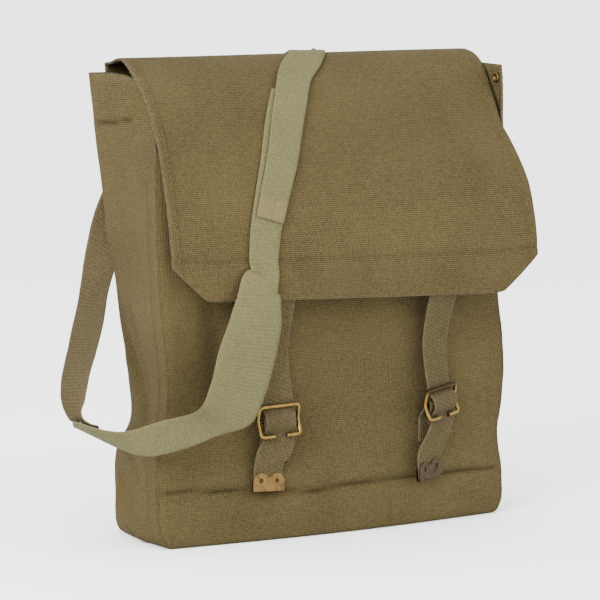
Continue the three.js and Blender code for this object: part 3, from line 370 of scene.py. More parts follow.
def flap_middle(across, along):
    """Points in the middle of the flap's thickness, from shares of its width and length."""
    across, along = np.broadcast_arrays(np.asarray(across, float), np.asarray(along, float))
    across, along = across.ravel(), along.ravel()
    row = follow(FLAP, "along", along)
    half = np.array([BAG_WIDTH / 2, BAG_DEPTH / 2, BAG_HEIGHT])
    left = np.stack([row["lo"], row["ld"], row["lu"]], -1) * half
    right = np.stack([row["ro"], row["rd"], row["ru"]], -1) * half
    point = left + across[:, None] * (right - left)
    bend = (smooth(across) - across) * 0.5
    point[:, 1] += (row["rd"] - row["ld"]) * bend * BAG_DEPTH / 2
    point[:, 2] += (row["ru"] - row["lu"]) * bend * BAG_HEIGHT
    point[:, 1] -= FLAP_SWELL * BAG_DEPTH * np.sin(np.pi * across) * smooth((along - SEAM) * 2)
    sewn = face_depth(BACK, point[:, 0], point[:, 2]) + 2 * GAP + FLAP_THICK / 2
    point[:, 1] = mix(sewn, point[:, 1], smooth((along - SEAM) / SEAM))
    return point


def flap_normal(across, along, step=0.01):
    across, along = np.broadcast_arrays(np.asarray(across, float), np.asarray(along, float))
    over = flap_middle(np.minimum(across + step, 1), along) - flap_middle(np.maximum(across - step, 0), along)
    down = flap_middle(across, np.minimum(along + step, 1)) - flap_middle(across, np.maximum(along - step, 0))
    return unit(np.cross(down, over))


def flap_depth(x, z):
    """How far forward the hanging flap is at a place."""
    low, high = 0.5, 1.0
    across = 0.5
    for _ in range(24):
        along = (low + high) / 2
        left, right = flap_middle(0.0, along)[0], flap_middle(1.0, along)[0]
        across = float(np.clip((x - left[0]) / (right[0] - left[0]), 0, 1))
        if flap_middle(across, along)[0][2] > z:
            low = along
        else:
            high = along
    return flap_middle(across, (low + high) / 2)[0][1]


def place(out, deep, up):
    return np.array([out * BAG_WIDTH / 2, deep * BAG_DEPTH / 2, up * BAG_HEIGHT])


def pointing(turn, tilt):
    turn, tilt = math.radians(turn), math.radians(tilt)
    return np.array([math.cos(tilt) * math.cos(turn), math.cos(tilt) * math.sin(turn), math.sin(tilt)])


def curve_through(points, shares):
    """A centripetal curve through points, at shares of its count of stretches."""
    points = np.asarray(points, float)
    padded = np.vstack([2 * points[0] - points[1], points, 2 * points[-1] - points[-2]])
    at = np.asarray(shares, float) * (len(points) - 1)
    i = np.clip(at.astype(int), 0, len(points) - 2)
    w = (at - i)[:, None]
    p0, p1, p2, p3 = (padded[i + k] for k in range(4))
    d0, d1, d2 = (np.sqrt(np.linalg.norm(b - a, axis=1))[:, None] for a, b in ((p0, p1), (p1, p2), (p2, p3)))
    d1 = np.where(d1 < 0.01, 1.0, d1)
    d0, d2 = np.where(d0 < 0.01, d1, d0), np.where(d2 < 0.01, d1, d2)
    t1 = ((p1 - p0) / d0 - (p2 - p0) / (d0 + d1) + (p2 - p1) / d1) * d1
    t2 = ((p2 - p1) / d1 - (p3 - p1) / (d1 + d2) + (p3 - p2) / d2) * d1
    return p1 + t1 * w + (3 * (p2 - p1) - 2 * t1 - t2) * w ** 2 + (2 * (p1 - p2) + t1 + t2) * w ** 3


# ---- Stations of the webbing, each (middle, across, width) ----

def on_flap(along, layers, width, shift=0.0):
    across_at = follow(STRAP_ON_FLAP, "along", along)["across"][0]
    ahead_at = follow(STRAP_ON_FLAP, "along", along + 0.01)["across"][0]
    here = flap_middle(across_at, along)[0]
    tangent = unit(flap_middle(ahead_at, along + 0.01)[0] - here)
    normal = flap_normal(across_at, along)[0]
    across = unit(np.cross(normal, tangent))
    lift = FLAP_THICK / 2 + 1.5 * GAP + (GAP + WEBBING) * layers - WEBBING / 2
    return here + normal * lift + across * shift, across, width


def upper_stations():
    seam, seam_across, _ = on_flap(0.0, 1, STRAP_WIDTH)
    start_x, start_z = 0.30 * BAG_WIDTH / 2, 0.80 * BAG_HEIGHT
    stations = []
    for share, layers in ((0, 0), (0.4, 0), (0.8, 1)):
        x, z = mix(start_x, seam[0], share), mix(start_z, seam[2], share)
        y = back_most(x, z, STRAP_WIDTH) + 3 * GAP + WEBBING / 2 + layers * (GAP + FLAP_THICK)
        stations.append((np.array([x, y, z]), seam_across, STRAP_WIDTH))
    stations += [on_flap(a, 1, STRAP_WIDTH) for a in (0.02, 0.045, 0.062, 0.08, 0.1, 0.14)]
    stations += [on_flap(a, 1, width, shift) for a, width, shift in UPPER_TAPER]
    stations += [on_flap(a, LAP_LAYERS, width, shift) for a, width, shift in UPPER_LAP]
    return stations


def pad_stations():
    stations = [on_flap(a, layers, width, shift) for a, layers, width, shift in UNDER_LAP]
    for out, deep, up, wide, turn, tilt in PAD_ROUTE:
        stations.append((place(out, deep, up), pointing(turn, tilt), mix(STRAP_WIDTH, PAD_WIDTH, wide)))
    return stations


def rear_stations():
    stations = [(place(out, deep, up), pointing(turn, tilt), STRAP_WIDTH)
                for out, deep, up, turn, tilt in REAR_ROUTE]
    for out, up, off in REAR_ON_BACK:
        at = place(out, 0, up)
        at[1] = back_most(at[0], at[2], STRAP_WIDTH) + 2 * GAP + WEBBING / 2 + off * BAG_DEPTH
        stations.append((at, pointing(180, REAR_LEAN), STRAP_WIDTH))
    return stations


def buckle_place(closing):
    """Where a buckle's middle bar is, and how the buckle is turned."""
    x, z = closing["buckle"] * BAG_WIDTH / 2, closing["buckle_up"] * BAG_HEIGHT
    y = front_most(x, z, BUCKLE_WIDTH, CHAPE_LENGTH) - BAR_LIFT - closing["lift"] * BAG_DEPTH
    return stand_at(x, y, z, closing["turn"], closing["roll"])


def at_buckle(closing, out, up, width):
    at = buckle_place(closing) @ Vector((0, -out, up))
    return np.array(at), pointing(closing["turn"], closing["roll"]), width


def chape_stations(closing):
    bar = buckle_place(closing).translation
    stations = []
    for share in (1, 0.85, 0.7, 0.55, 0.4):
        x = bar.x + closing["chape_shift"] * share * BAG_WIDTH / 2
        z = bar.z - CHAPE_LENGTH * share
        y = front_most(x, z, CHAPE_WIDTH, CHAPE_LENGTH * 0.15) - 2 * GAP - WEBBING / 2
        stations.append((np.array([x, y, z]), pointing(0, closing["roll"] / 2), CHAPE_WIDTH))
    radius = WIRE + 2 * GAP + WEBBING / 2
    for angle in (-20, 20, 60, 100, 140):
        out, up = -radius * math.cos(math.radians(angle)), radius * math.sin(math.radians(angle))
        stations.append(at_buckle(closing, out, up, CHAPE_WIDTH))
    for down, out in CHAPE_FRONT:
        stations.append(at_buckle(closing, out, -down * BUCKLE_HEIGHT, CHAPE_WIDTH))
    return stations


def behind_flap(x, z):
    half = CLOSING_WIDTH / 2
    left, right = flap_depth(x - half, z), flap_depth(x + half, z)
    y = max((left + right) / 2, flap_depth(x, z)) + FLAP_THICK / 2 + 2 * GAP + WEBBING / 2
    return np.array([x, y, z]), unit(np.array([CLOSING_WIDTH, right - left, 0.0])), CLOSING_WIDTH


TIP_REST = 5 * GAP + TIP_PLATE + WEBBING / 2    # the strap's middle in its tip, in front of the panel


def turned_reach(width, turn):
    """How far a piece of some width stands out where it is turned about the vertical."""
    return width / 2 * abs(math.sin(math.radians(turn)))


def stand_at(x, y, z, turn, roll):
    turned = Matrix.Rotation(math.radians(turn), 4, "Z") @ Matrix.Rotation(-math.radians(roll), 4, "Y")
    return Matrix.Translation((x, y, z)) @ turned


def tip_place(closing):
    """Where the middle of a strap's tip is, and how the tip is turned."""
    x, z = closing["tip"] * BAG_WIDTH / 2, closing["tip_up"] * BAG_HEIGHT
    y = front_most(x, z, TIP_WIDTH, TIP_HEIGHT) - TIP_REST - turned_reach(TIP_WIDTH, closing["tip_turn"])
    return stand_at(x, y, z, closing["tip_turn"], closing["tip_roll"])


def closing_stations(closing):
    bar = buckle_place(closing).translation
    flap_edge = flap_middle(0.5, 1.0)[0][2]
    rise = BUCKLE_HEIGHT / 2
    seam_x = closing["seam"] * BAG_WIDTH / 2
    stations = [behind_flap(seam_x, flap_edge + HEM * share) for share in (0.9, 0.5, 0.1)]
    x, z = closing["middle"] * BAG_WIDTH / 2, mix(flap_edge, bar.z + rise, 0.5)
    y = mix(face_depth(FRONT, x, z)[0], flap_depth(x, flap_edge), 0.45)
    stations.append((np.array([x, y, z]), pointing(closing["turn"] / 2, closing["roll"]), CLOSING_WIDTH))
    over = WIRE + WEBBING * 1.5 + 3 * GAP + closing["slack"] * BAG_DEPTH
    behind = BUCKLE_BEND - WIRE - 2 * GAP - WEBBING / 2
    for up, out in ((1.5, behind * 0.6), (1.05, behind * 0.85), (0.74, behind), (0.28, over),
                    (-0.28, over), (-0.74, behind), (-1.05, behind), (-1.3, behind)):
        stations.append(at_buckle(closing, out, rise * up, CLOSING_WIDTH))
    tip = tip_place(closing)
    low_x, low_z = closing["below"] * BAG_WIDTH / 2, mix(bar.z, tip.translation.z, 0.58)
    low_turn = (closing["turn"] + closing["tip_turn"]) / 2
    face = front_most(low_x, low_z, CLOSING_WIDTH, TIP_HEIGHT) - 2 * GAP - WEBBING
    stations.append((np.array([low_x, face - TIP_REST - turned_reach(CLOSING_WIDTH, low_turn), low_z]),
                     pointing(low_turn, closing["tip_roll"] / 2), CLOSING_WIDTH))
    for share in (0.75, 0.5, 0, -0.4):
        stations.append((np.array(tip @ Vector((0, 0, share * TIP_HEIGHT))),
                         pointing(closing["tip_turn"], closing["tip_roll"]), TIP_WIDTH - 2 * TIP_PLATE))
    return stations


# ---- Meshes ----

def deselect():
    bpy.ops.object.select_all(action="DESELECT")


def take(piece):
    deselect()
    piece.select_set(True)
    bpy.context.view_layer.objects.active = piece


def apply_all(piece):
    take(piece)
    for modifier in list(piece.modifiers):
        bpy.ops.object.modifier_apply(modifier=modifier.name)


def grid_piece(name, columns, count_rows):
    """A new grid of quads whose vertices run row by row, to be laid on a surface."""
    deselect()
    bpy.ops.mesh.primitive_grid_add(x_subdivisions=columns - 1, y_subdivisions=count_rows - 1, size=1)
    piece = bpy.context.object
    piece.name = piece.data.name = name
    return piece


def lay(piece, points, uv, pale=None, dark=None):
    """Moves a grid's vertices to points, with their places in the pattern, all in millimetres,
    and how pale they are, from wear and painted highlight, and how dark, from painted shade and seams, 0 to 1."""
    mesh = piece.data
    for name, values in (("pale", pale), ("dark", dark)):
        values = np.zeros(len(points)) if values is None else np.clip(values, 0, 1).ravel()
        mesh.attributes.new(name, "FLOAT", "POINT").data.foreach_set("value", values)
    mesh.vertices.foreach_set("co", (np.asarray(points) * MM).astype(np.float32).ravel())
    layer = mesh.uv_layers.active or mesh.uv_layers.new(name="UVMap")
    loops = np.zeros(len(mesh.loops), np.int32)
    mesh.loops.foreach_get("vertex_index", loops)
    layer.data.foreach_set("uv", (np.asarray(uv) * MM)[loops].astype(np.float32).ravel())
    mesh.update()


def join(parts, name):
    """Parts made one piece, in the first one's mesh."""
    deselect()
    for part in parts:
        part.select_set(True)
    bpy.context.view_layer.objects.active = parts[0]
    bpy.ops.object.join()
    piece = bpy.context.object
    piece.name = piece.data.name = name
    return piece


def twin(piece):
    """A copy with a mesh of its own."""
    other = piece.copy()
    other.data = piece.data.copy()
    bpy.context.scene.collection.objects.link(other)
    return other


def finish_piece(piece, cover, slot, *nodes):
    """Shading, material, body and the CAD nodes that a finished piece stands for."""
    piece.data.materials.clear()
    piece.data.materials.append(cover)
    take(piece)
    bpy.ops.object.shade_smooth()
    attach(piece, "root")
    if nodes:
        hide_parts(*nodes)
    return piece


def ripple(points, size, seed, octaves=3):
    """Soft unevenness of cloth at each point, about -1 to 1, with dents about size millimetres wide."""
    offset = Vector((seed * 17.3, seed * 5.1, seed * 9.7))
    return np.array([noise.fractal(Vector(p) / size + offset, 1.0, 2.0, octaves) for p in points])


CRISP_FROM = 8.0            # a crisp strap follows its stations' edges from this station on


def soften(lines, reach):
    """Rows of points evened out along their run, over a reach counted in rows."""
    steps = np.arange(-3 * reach, 3 * reach + 1)
    weights = np.exp(-0.5 * (steps / reach) ** 2)
    weights /= weights.sum()
    held = np.concatenate([np.repeat(lines[:1], 3 * reach, 0), lines, np.repeat(lines[-1:], 3 * reach, 0)])
    return np.stack([np.convolve(held[:, k], weights, "valid") for k in range(lines.shape[1])], -1)


def strap_piece(name, stations, spacing=2.2, edge=0.35, uneven=0.25, seed=1, worn_ends=(0.0, 0.0),
                worn_and_highlit_at=None, crisp=False):
    """A woven strap along its stations: rounded selvedges, a flat face and closed ends.

    worn_ends are the lengths in millimetres that are paled by wear at its two ends, worn_and_highlit_at
    is the number of a station where a pale band is laid, for wear and painted highlight on a lit fold,
    and a crisp strap keeps the corners that its stations' edges make.
    """
    thickness = bpy.context.scene.pack_sizes.webbing / MM
    middles = [s[0] for s in stations]
    fine = np.linspace(0, 1, 60 * len(stations))
    dense = curve_through(middles, fine)
    lengths = np.concatenate([[0], np.cumsum(np.linalg.norm(np.diff(dense, axis=0), axis=1))])
    count = int(lengths[-1] / spacing) + 2
    shares = np.interp(np.linspace(0, lengths[-1], count), lengths, fine)
    middle = curve_through(middles, shares)
    tangent = unit(np.gradient(middle, axis=0))
    side = curve_through([s[1] for s in stations], shares)
    side = unit(side - (side * tangent).sum(-1, keepdims=True) * tangent)
    normal = np.cross(side, tangent)
    widths = {"i": np.arange(len(stations), dtype=float), "width": np.array([s[2] for s in stations], float)}
    width = follow(widths, "i", shares * (len(stations) - 1))["width"]
    if crisp:
        index, at = np.arange(len(stations)), shares * (len(stations) - 1)
        edges = []
        for sign in (-0.5, 0.5):
            corners = np.array([s[0] + sign * s[2] * unit(s[1]) for s in stations])
            line = np.stack([np.interp(at, index, corners[:, k]) for k in range(3)], -1)
            edges.append(soften(line, 2))
        blend_in = smooth((at - CRISP_FROM) / 1.0)[:, None]
        smooth_edges = [middle - side * width[:, None] / 2, middle + side * width[:, None] / 2]
        low, high = (mix(a, b, blend_in) for a, b in zip(smooth_edges, edges))
        middle, side, width = (low + high) / 2, unit(high - low), np.linalg.norm(high - low, axis=1)
        tangent = unit(np.gradient(middle, axis=0))
        normal = unit(np.cross(side, tangent))
    run = np.linspace(0, lengths[-1], count)
    across = np.concatenate([np.linspace(-1, 1, FACE_POINTS), np.linspace(1, -1, FACE_POINTS)])
    face = np.repeat([1.0, -1.0], FACE_POINTS)
    tuck = np.clip((np.abs(across) - 1) + edge / 6, 0, edge / 6) / (edge / 6)
    depth = face * (thickness / 2) * np.sqrt(np.clip(1 - 0.75 * tuck ** 2, 0, 1))
    piece = grid_piece(name, len(across), count)
    points = (middle[:, None] + side[:, None] * (across[None, :, None] * width[:, None, None] / 2)
              + normal[:, None] * depth[None, :, None])
    waves = ripple(middle, 14.0, seed) * uneven
    crinkle = ripple(middle, 5.0, seed + 20, 2) * uneven * 0.5 * smooth((width - STRAP_WIDTH) / 12)
    points = points + normal[:, None] * (waves + crinkle)[:, None, None]
    rubbed_and_highlit = smooth((worn_ends[0] - run) / 3) + smooth((run - lengths[-1] + worn_ends[1]) / 3)
    # A pale band at one station: wear on the fold, and painted highlight on its lit top
    if worn_and_highlit_at is not None:
        spot = np.interp(worn_and_highlit_at / (len(stations) - 1), fine, lengths)
        rubbed_and_highlit = rubbed_and_highlit + 0.8 * hill(run - spot, 3.0)
    pale = 0.35 * smooth((np.abs(across) - 0.90) / 0.10)[None, :] + 0.75 * rubbed_and_highlit[:, None]
    uv = np.stack([across[None, :] * width[:, None] / 2, np.broadcast_to(run[:, None], (count, len(across)))], -1)
    lay(piece, points.reshape(-1, 3), uv.reshape(-1, 2), pale)
    close_strap(piece, len(across), count)
    return piece


def close_strap(piece, columns, count_rows):
    """Joins a wrapped grid along its length and closes its two ends."""
    work = bmesh.new()
    work.from_mesh(piece.data)
    work.verts.ensure_lookup_table()
    uv_layer = work.loops.layers.uv.active
    places = {}
    for face in work.faces:
        for loop in face.loops:
            places.setdefault(loop.vert, loop[uv_layer].uv.copy())

    def add(corners):
        made = work.faces.new(corners)
        for loop in made.loops:
            loop[uv_layer].uv = places[loop.vert]

    vert = work.verts
    half = columns // 2
    for r in range(count_rows - 1):
        a, b = r * columns + columns - 1, r * columns
        add([vert[a], vert[b], vert[b + columns], vert[a + columns]])
    for base in (0, (count_rows - 1) * columns):
        last = base + columns - 1
        for c in range(half - 1):
            add([vert[base + c], vert[base + c + 1], vert[last - 1 - c], vert[last - c]])
    bmesh.ops.recalc_face_normals(work, faces=work.faces)
    work.to_mesh(piece.data)
    work.free()
    piece.data.update()


# ---- Materials ----

# The studio is lit until its white paper reads as white, so dyes and metals are this much deeper
DYE = 0.215


def linear(code):
    """A linear colour from an sRGB hex value, as far down as the studio's bright light asks for."""
    values = [int(code[i:i + 2], 16) / 255 for i in (1, 3, 5)]
    values = [v / 12.92 if v <= 0.04045 else ((v + 0.055) / 1.055) ** 2.4 for v in values]
    return tuple(v * DYE for v in values) + (1.0,)


def add(tree, kind, links=None, **settings):
    """A node with its settings, and its inputs linked or set by name or number."""
    made = tree.nodes.new(kind)
    for key, value in settings.items():
        setattr(made, key, value)
    for key, value in (links or {}).items():
        if isinstance(value, bpy.types.NodeSocket):
            tree.links.new(value, made.inputs[key])
        else:
            made.inputs[key].default_value = value
    return made


def new_material(name):
    material = bpy.data.materials.new(name)
    material.use_nodes = True
    tree = material.node_tree
    tree.nodes.clear()
    shader = add(tree, "ShaderNodeBsdfPrincipled")
    out = add(tree, "ShaderNodeOutputMaterial", {"Surface": shader.outputs[0]})
    out.location = (400, 0)
    return material, tree, shader


def sums(tree, operation, a, b=0.0):
    return add(tree, "ShaderNodeMath", {0: a, 1: b}, operation=operation).outputs[0]


def blend(tree, factor, a, b, mode="MIX"):
    made = add(tree, "ShaderNodeMix", {0: factor, 6: a, 7: b}, data_type="RGBA", blend_type=mode)
    return made.outputs[2]


def woven(tree, pitch, twill=0.0):
    """Height of a weave on the piece's own pattern map, pitch in metres."""
    where = add(tree, "ShaderNodeUVMap", uv_map="UVMap").outputs[0]
    # Yarn wanders over about 17 mm
    wander = add(tree, "ShaderNodeTexNoise", {"Vector": where, "Scale": 60.0, "Detail": 2.0}).outputs["Color"]
    shift = add(tree, "ShaderNodeVectorMath", {0: wander, 1: (0.5, 0.5, 0.5)}, operation="SUBTRACT").outputs[0]
    shift = add(tree, "ShaderNodeVectorMath", {0: shift, "Scale": pitch * 0.6}, operation="SCALE").outputs[0]
    moved = add(tree, "ShaderNodeVectorMath", {0: where, 1: shift}, operation="ADD").outputs[0]
    parts = add(tree, "ShaderNodeSeparateXYZ", {0: moved})
    u = sums(tree, "DIVIDE", parts.outputs[0], pitch)
    v = sums(tree, "DIVIDE", parts.outputs[1], pitch)
    if twill:
        v = sums(tree, "ADD", v, sums(tree, "MULTIPLY", u, twill))
    wave_u = sums(tree, "SINE", sums(tree, "MULTIPLY", u, math.pi))
    wave_v = sums(tree, "SINE", sums(tree, "MULTIPLY", v, math.pi))
    crossing = sums(tree, "MULTIPLY", wave_u, wave_v)
    under = sums(tree, "MAXIMUM", sums(tree, "MULTIPLY", crossing, -0.55), 0.0)
    return sums(tree, "ADD", sums(tree, "MAXIMUM", crossing, 0.0), under)


def cloth(name, dark, main, light, pitch, twill=0.0, worn_and_highlit="#b3a684", contrast=0.8, depth=0.0006):
    """Dyed cotton: matte yarn with painted highlight on its crossings and painted shade in its gaps, uneven dye,
    pale marks from wear and painted highlight, and painted shade in its creases.
    """
    made, tree, shader = new_material(name)
    dark, light = linear(dark), linear(light)
    height = woven(tree, pitch, twill)
    where = add(tree, "ShaderNodeTexCoord").outputs["Object"]
    # The dye is uneven over about 70 mm, and the yarn itself over about 2.4 mm
    broad = add(tree, "ShaderNodeTexNoise", {"Vector": where, "Scale": 14.0, "Detail": 3.0}).outputs[0]
    fine = add(tree, "ShaderNodeTexNoise", {"Vector": where, "Scale": 420.0, "Detail": 2.0}).outputs[0]
    # The weave's height sets the colour too: painted highlight on the yarn crowns and painted shade in the gaps
    # between them
    tone = sums(tree, "ADD", sums(tree, "MULTIPLY", height, contrast), 0.22)
    tone = sums(tree, "ADD", tone, sums(tree, "MULTIPLY", sums(tree, "SUBTRACT", fine, 0.5), 0.55))
    tone = sums(tree, "ADD", tone, sums(tree, "MULTIPLY", sums(tree, "SUBTRACT", broad, 0.5), 0.35))
    low = blend(tree, sums(tree, "MULTIPLY", tone, 2.0), dark, main)
    colour = blend(tree, sums(tree, "SUBTRACT", sums(tree, "MULTIPLY", tone, 2.0), 1.0), low, light)
    rubbed_and_highlit = add(tree, "ShaderNodeAttribute", attribute_name="pale").outputs["Fac"]
    patch = add(tree, "ShaderNodeMapRange", {0: fine, 1: 0.35, 2: 0.65, 3: 0.45, 4: 1.0}).outputs[0]
    colour = blend(tree, sums(tree, "MULTIPLY", rubbed_and_highlit, patch), colour, linear(worn_and_highlit))
    # Painted shade: the cloth turns to its dark colour in sharp creases and in the grooves beside the hems, and
    # is darker along the bag's corner seams
    painted_shade_and_darkening = add(tree, "ShaderNodeAttribute", attribute_name="dark").outputs["Fac"]
    colour = blend(tree, painted_shade_and_darkening, colour, dark)
    tree.links.new(colour, shader.inputs["Base Color"])
    bump = add(tree, "ShaderNodeBump", {"Height": height, "Strength": 0.8, "Distance": depth})
    tree.links.new(bump.outputs[0], shader.inputs["Normal"])
    shader.inputs["Roughness"].default_value = 0.95
    shader.inputs["Specular IOR Level"].default_value = 0.08
    return made


def metal(name, bright, dull, rough, tarnish):
    """Rolled brass wire and plate: yellow metal with a brown film where hands don't polish it."""
    made, tree, shader = new_material(name)
    where = add(tree, "ShaderNodeTexCoord").outputs["Object"]
    # The film lies in spots of about 4 mm, and the scratches are about 1 mm apart
    film = add(tree, "ShaderNodeTexNoise", {"Vector": where, "Scale": 240.0, "Detail": 5.0}).outputs[0]
    amount = add(tree, "ShaderNodeMapRange", {0: film, 1: 0.45, 2: 0.7, 3: 0.0, 4: tarnish}).outputs[0]
    colour = blend(tree, amount, bright, linear(dull))
    painted_shade_and_darkening = add(tree, "ShaderNodeAttribute", attribute_name="dark").outputs["Fac"]
    tree.links.new(blend(tree, painted_shade_and_darkening, colour, linear("#33241a")), shader.inputs["Base Color"])
    roughness = add(tree, "ShaderNodeMapRange", {0: film, 3: rough * 0.8, 4: rough * 1.4}).outputs[0]
    tree.links.new(roughness, shader.inputs["Roughness"])
    scratch = add(tree, "ShaderNodeTexNoise", {"Vector": where, "Scale": 900.0, "Detail": 3.0}).outputs[0]
    bump = add(tree, "ShaderNodeBump", {"Height": scratch, "Strength": 0.15, "Distance": 0.0002})
    tree.links.new(bump.outputs[0], shader.inputs["Normal"])
    shader.inputs["Metallic"].default_value = 1.0
    return made


_made = {}


def material(kind):
    """The pack's materials, each made once."""
    if kind in _made:
        return _made[kind]
    colours = bpy.context.scene.pack_colours
    pitch = bpy.context.scene.pack_sizes.weave
    if kind == "canvas":
        # Cotton canvas in a plain weave: dull, with painted highlight on its yarn crowns and painted shade in the
        # gaps
        made = cloth("cotton_canvas", "#3c311a", tuple(colours.canvas), "#a8945e", pitch)
    elif kind == "olive":
        # Cotton webbing, woven thick: the same dye, with a slanted rib
        made = cloth("olive_webbing", "#3b311d", tuple(colours.olive), "#a3936a", pitch * 1.1, twill=0.5)
    elif kind == "sage":
        # Another maker's webbing, paler and greener, tan from wear at its sewn ends and on the pad's fold, where
        # the tan is also painted highlight on the fold's lit top
        made = cloth("sage_webbing", "#6f6e42", tuple(colours.sage), "#cfca90", pitch, twill=1.0,
                     worn_and_highlit="#c2a878", contrast=0.75)
    elif kind == "thread":
        # Undyed linen thread, a little paler than the cloth
        made = cloth("sewing_thread", "#9c8e66", linear("#b3a67a"), "#cbbf96", pitch)
    elif kind == "brass":
        # Drawn brass wire, handled often: bright gold with brown in its corners
        made = metal("worn_brass", tuple(colours.brass), "#8a6530", 0.28, 0.5)
    elif kind == "tip":
        # Pressed brass plate, less polished by hands
        made = metal("worn_tip_brass", linear("#c59d62"), "#6e5331", 0.38, 0.7)
    else:
        # The same plate left to tarnish: grey-brown, with little shine
        made = metal("tarnished_brass", linear("#77624a"), "#40342a", 0.45, 0.8)
    _made[kind] = made
    return made


# ---- The bag ----

def crease_shade(name, along, z):
    """How dark the cloth is in its sharp creases, 0 to 1."""
    width = np.full(len(z), BAG_WIDTH if name in ("front", "back") else BAG_DEPTH)
    sharp = [fold for fold in CREASES[name] if fold[4] < 0.02]
    return np.clip(-fold_depth(sharp, along, z, width) / 1.6, 0, 1) * 0.6


def bag_lines(z_rows, columns):
    """The bag's upright lines in order round it: points at each row, and how dark they are, with painted shade in
    the creases and a darker seam line at each corner.
    """
    lines, crease_shades_and_seams = [], []
    for index, (name, _, _) in enumerate(SIDES):
        for c in range(columns[index] + 1):
            along = np.full(len(z_rows), c / columns[index])
            rim = rim_height(name, along[:1])[0][0]
            z = z_rows * rim
            lines.append(wall(index, along, z, dressed=True))
            # Painted shade along the sharp creases
            crease_shades_and_seams.append(crease_shade(name, along, z))
        following = (index + 1) % 4
        next_name = SIDES[following][0]
        top_a, top_b = rim_height(name, np.ones(1))[0][0], rim_height(next_name, np.zeros(1))[0][0]
        for c in range(1, 4):
            turn = c / 4
            z = z_rows * mix(top_a, top_b, turn)
            row = follow(BAG, "up", z / BAG_HEIGHT)
            end = SIDES[index][2]
            corner = np.column_stack([row[end + "x"] * BAG_WIDTH / 2, row[end + "y"] * BAG_DEPTH / 2, z])
            start, stop = wall(index, np.ones(len(z)), z), wall(following, np.zeros(len(z)), z)
            lines.append(start * (1 - turn) ** 2 + corner * 2 * turn * (1 - turn) + stop * turn ** 2)
            # A darker seam line down the middle of each corner
            crease_shades_and_seams.append(np.full(len(z), 0.25 if c == 2 else 0.0))
    return lines, crease_shades_and_seams


def build_bag():
    """The bag as one wrapped sheet: laid on its walls, closed at the foot and given its thickness."""
    columns = (int(BAG_WIDTH / GRID_SPACING), int(BAG_DEPTH / GRID_SPACING)) * 2
    foot = np.array([0.0, 0.4, 1.2, 2.6, 4.4]) / BAG_HEIGHT
    z_rows = np.concatenate([foot, np.arange(7.0, BAG_HEIGHT, GRID_SPACING) / BAG_HEIGHT, [1.0]])
    lines, crease_shades_and_seams = bag_lines(z_rows, columns)
    # How dark each point is: painted shade in the creases, and darker seams at the corners
    grid, painted_shade_and_darkening = np.stack(lines, 1), np.stack(crease_shades_and_seams, 1)
    count_rows, count = grid.shape[:2]
    ahead, behind = np.roll(grid, -1, 1), np.roll(grid, 1, 1)
    outward = unit(np.cross(ahead - behind, np.array([0, 0, 1.0])))
    edge = np.clip(FOOT_ROUND - grid[:, :, 2], 0, FOOT_ROUND)
    inset = FOOT_ROUND - np.sqrt(FOOT_ROUND ** 2 - edge ** 2)
    flat = grid.reshape(-1, 3)
    uneven = (ripple(flat, 55.0, 3) * 1.3 + ripple(flat, 22.0, 5) * 0.45).reshape(count_rows, count)
    standing = smooth(grid[:, :, 2] / 20) * smooth((FRONT_HEIGHT + 60 - grid[:, :, 2]) / 60)
    grid = grid + outward * (uneven * standing - inset)[:, :, None]
    run = np.concatenate([[0], np.cumsum(np.linalg.norm(np.diff(grid[count_rows // 2], axis=0), axis=1))])
    piece = grid_piece("pack_body_canvas", count + 1, count_rows)
    points = np.concatenate([grid, grid[:, :1]], 1)
    length = run[-1] + np.linalg.norm(grid[count_rows // 2, 0] - grid[count_rows // 2, -1])
    across = np.concatenate([run, [length]])
    uv = np.stack([np.broadcast_to(across, (count_rows, count + 1)), points[:, :, 2]], -1)
    painted_shade_and_darkening = np.concatenate([painted_shade_and_darkening, painted_shade_and_darkening[:, :1]], 1)
    rim = np.broadcast_to((z_rows > 0.985)[:, None] * 0.15, painted_shade_and_darkening.shape)
    lay(piece, points.reshape(-1, 3), uv.reshape(-1, 2), rim, painted_shade_and_darkening)
    close_bag(piece)
    thickness = piece.modifiers.new("wall", "SOLIDIFY")
    thickness.thickness, thickness.offset = bpy.context.scene.pack_sizes.canvas, -1.0
    thickness.use_even_offset = True
    apply_all(piece)
    drill_eyelet(piece)
    return finish_piece(piece, material("canvas"), "canvas", "pack_body")


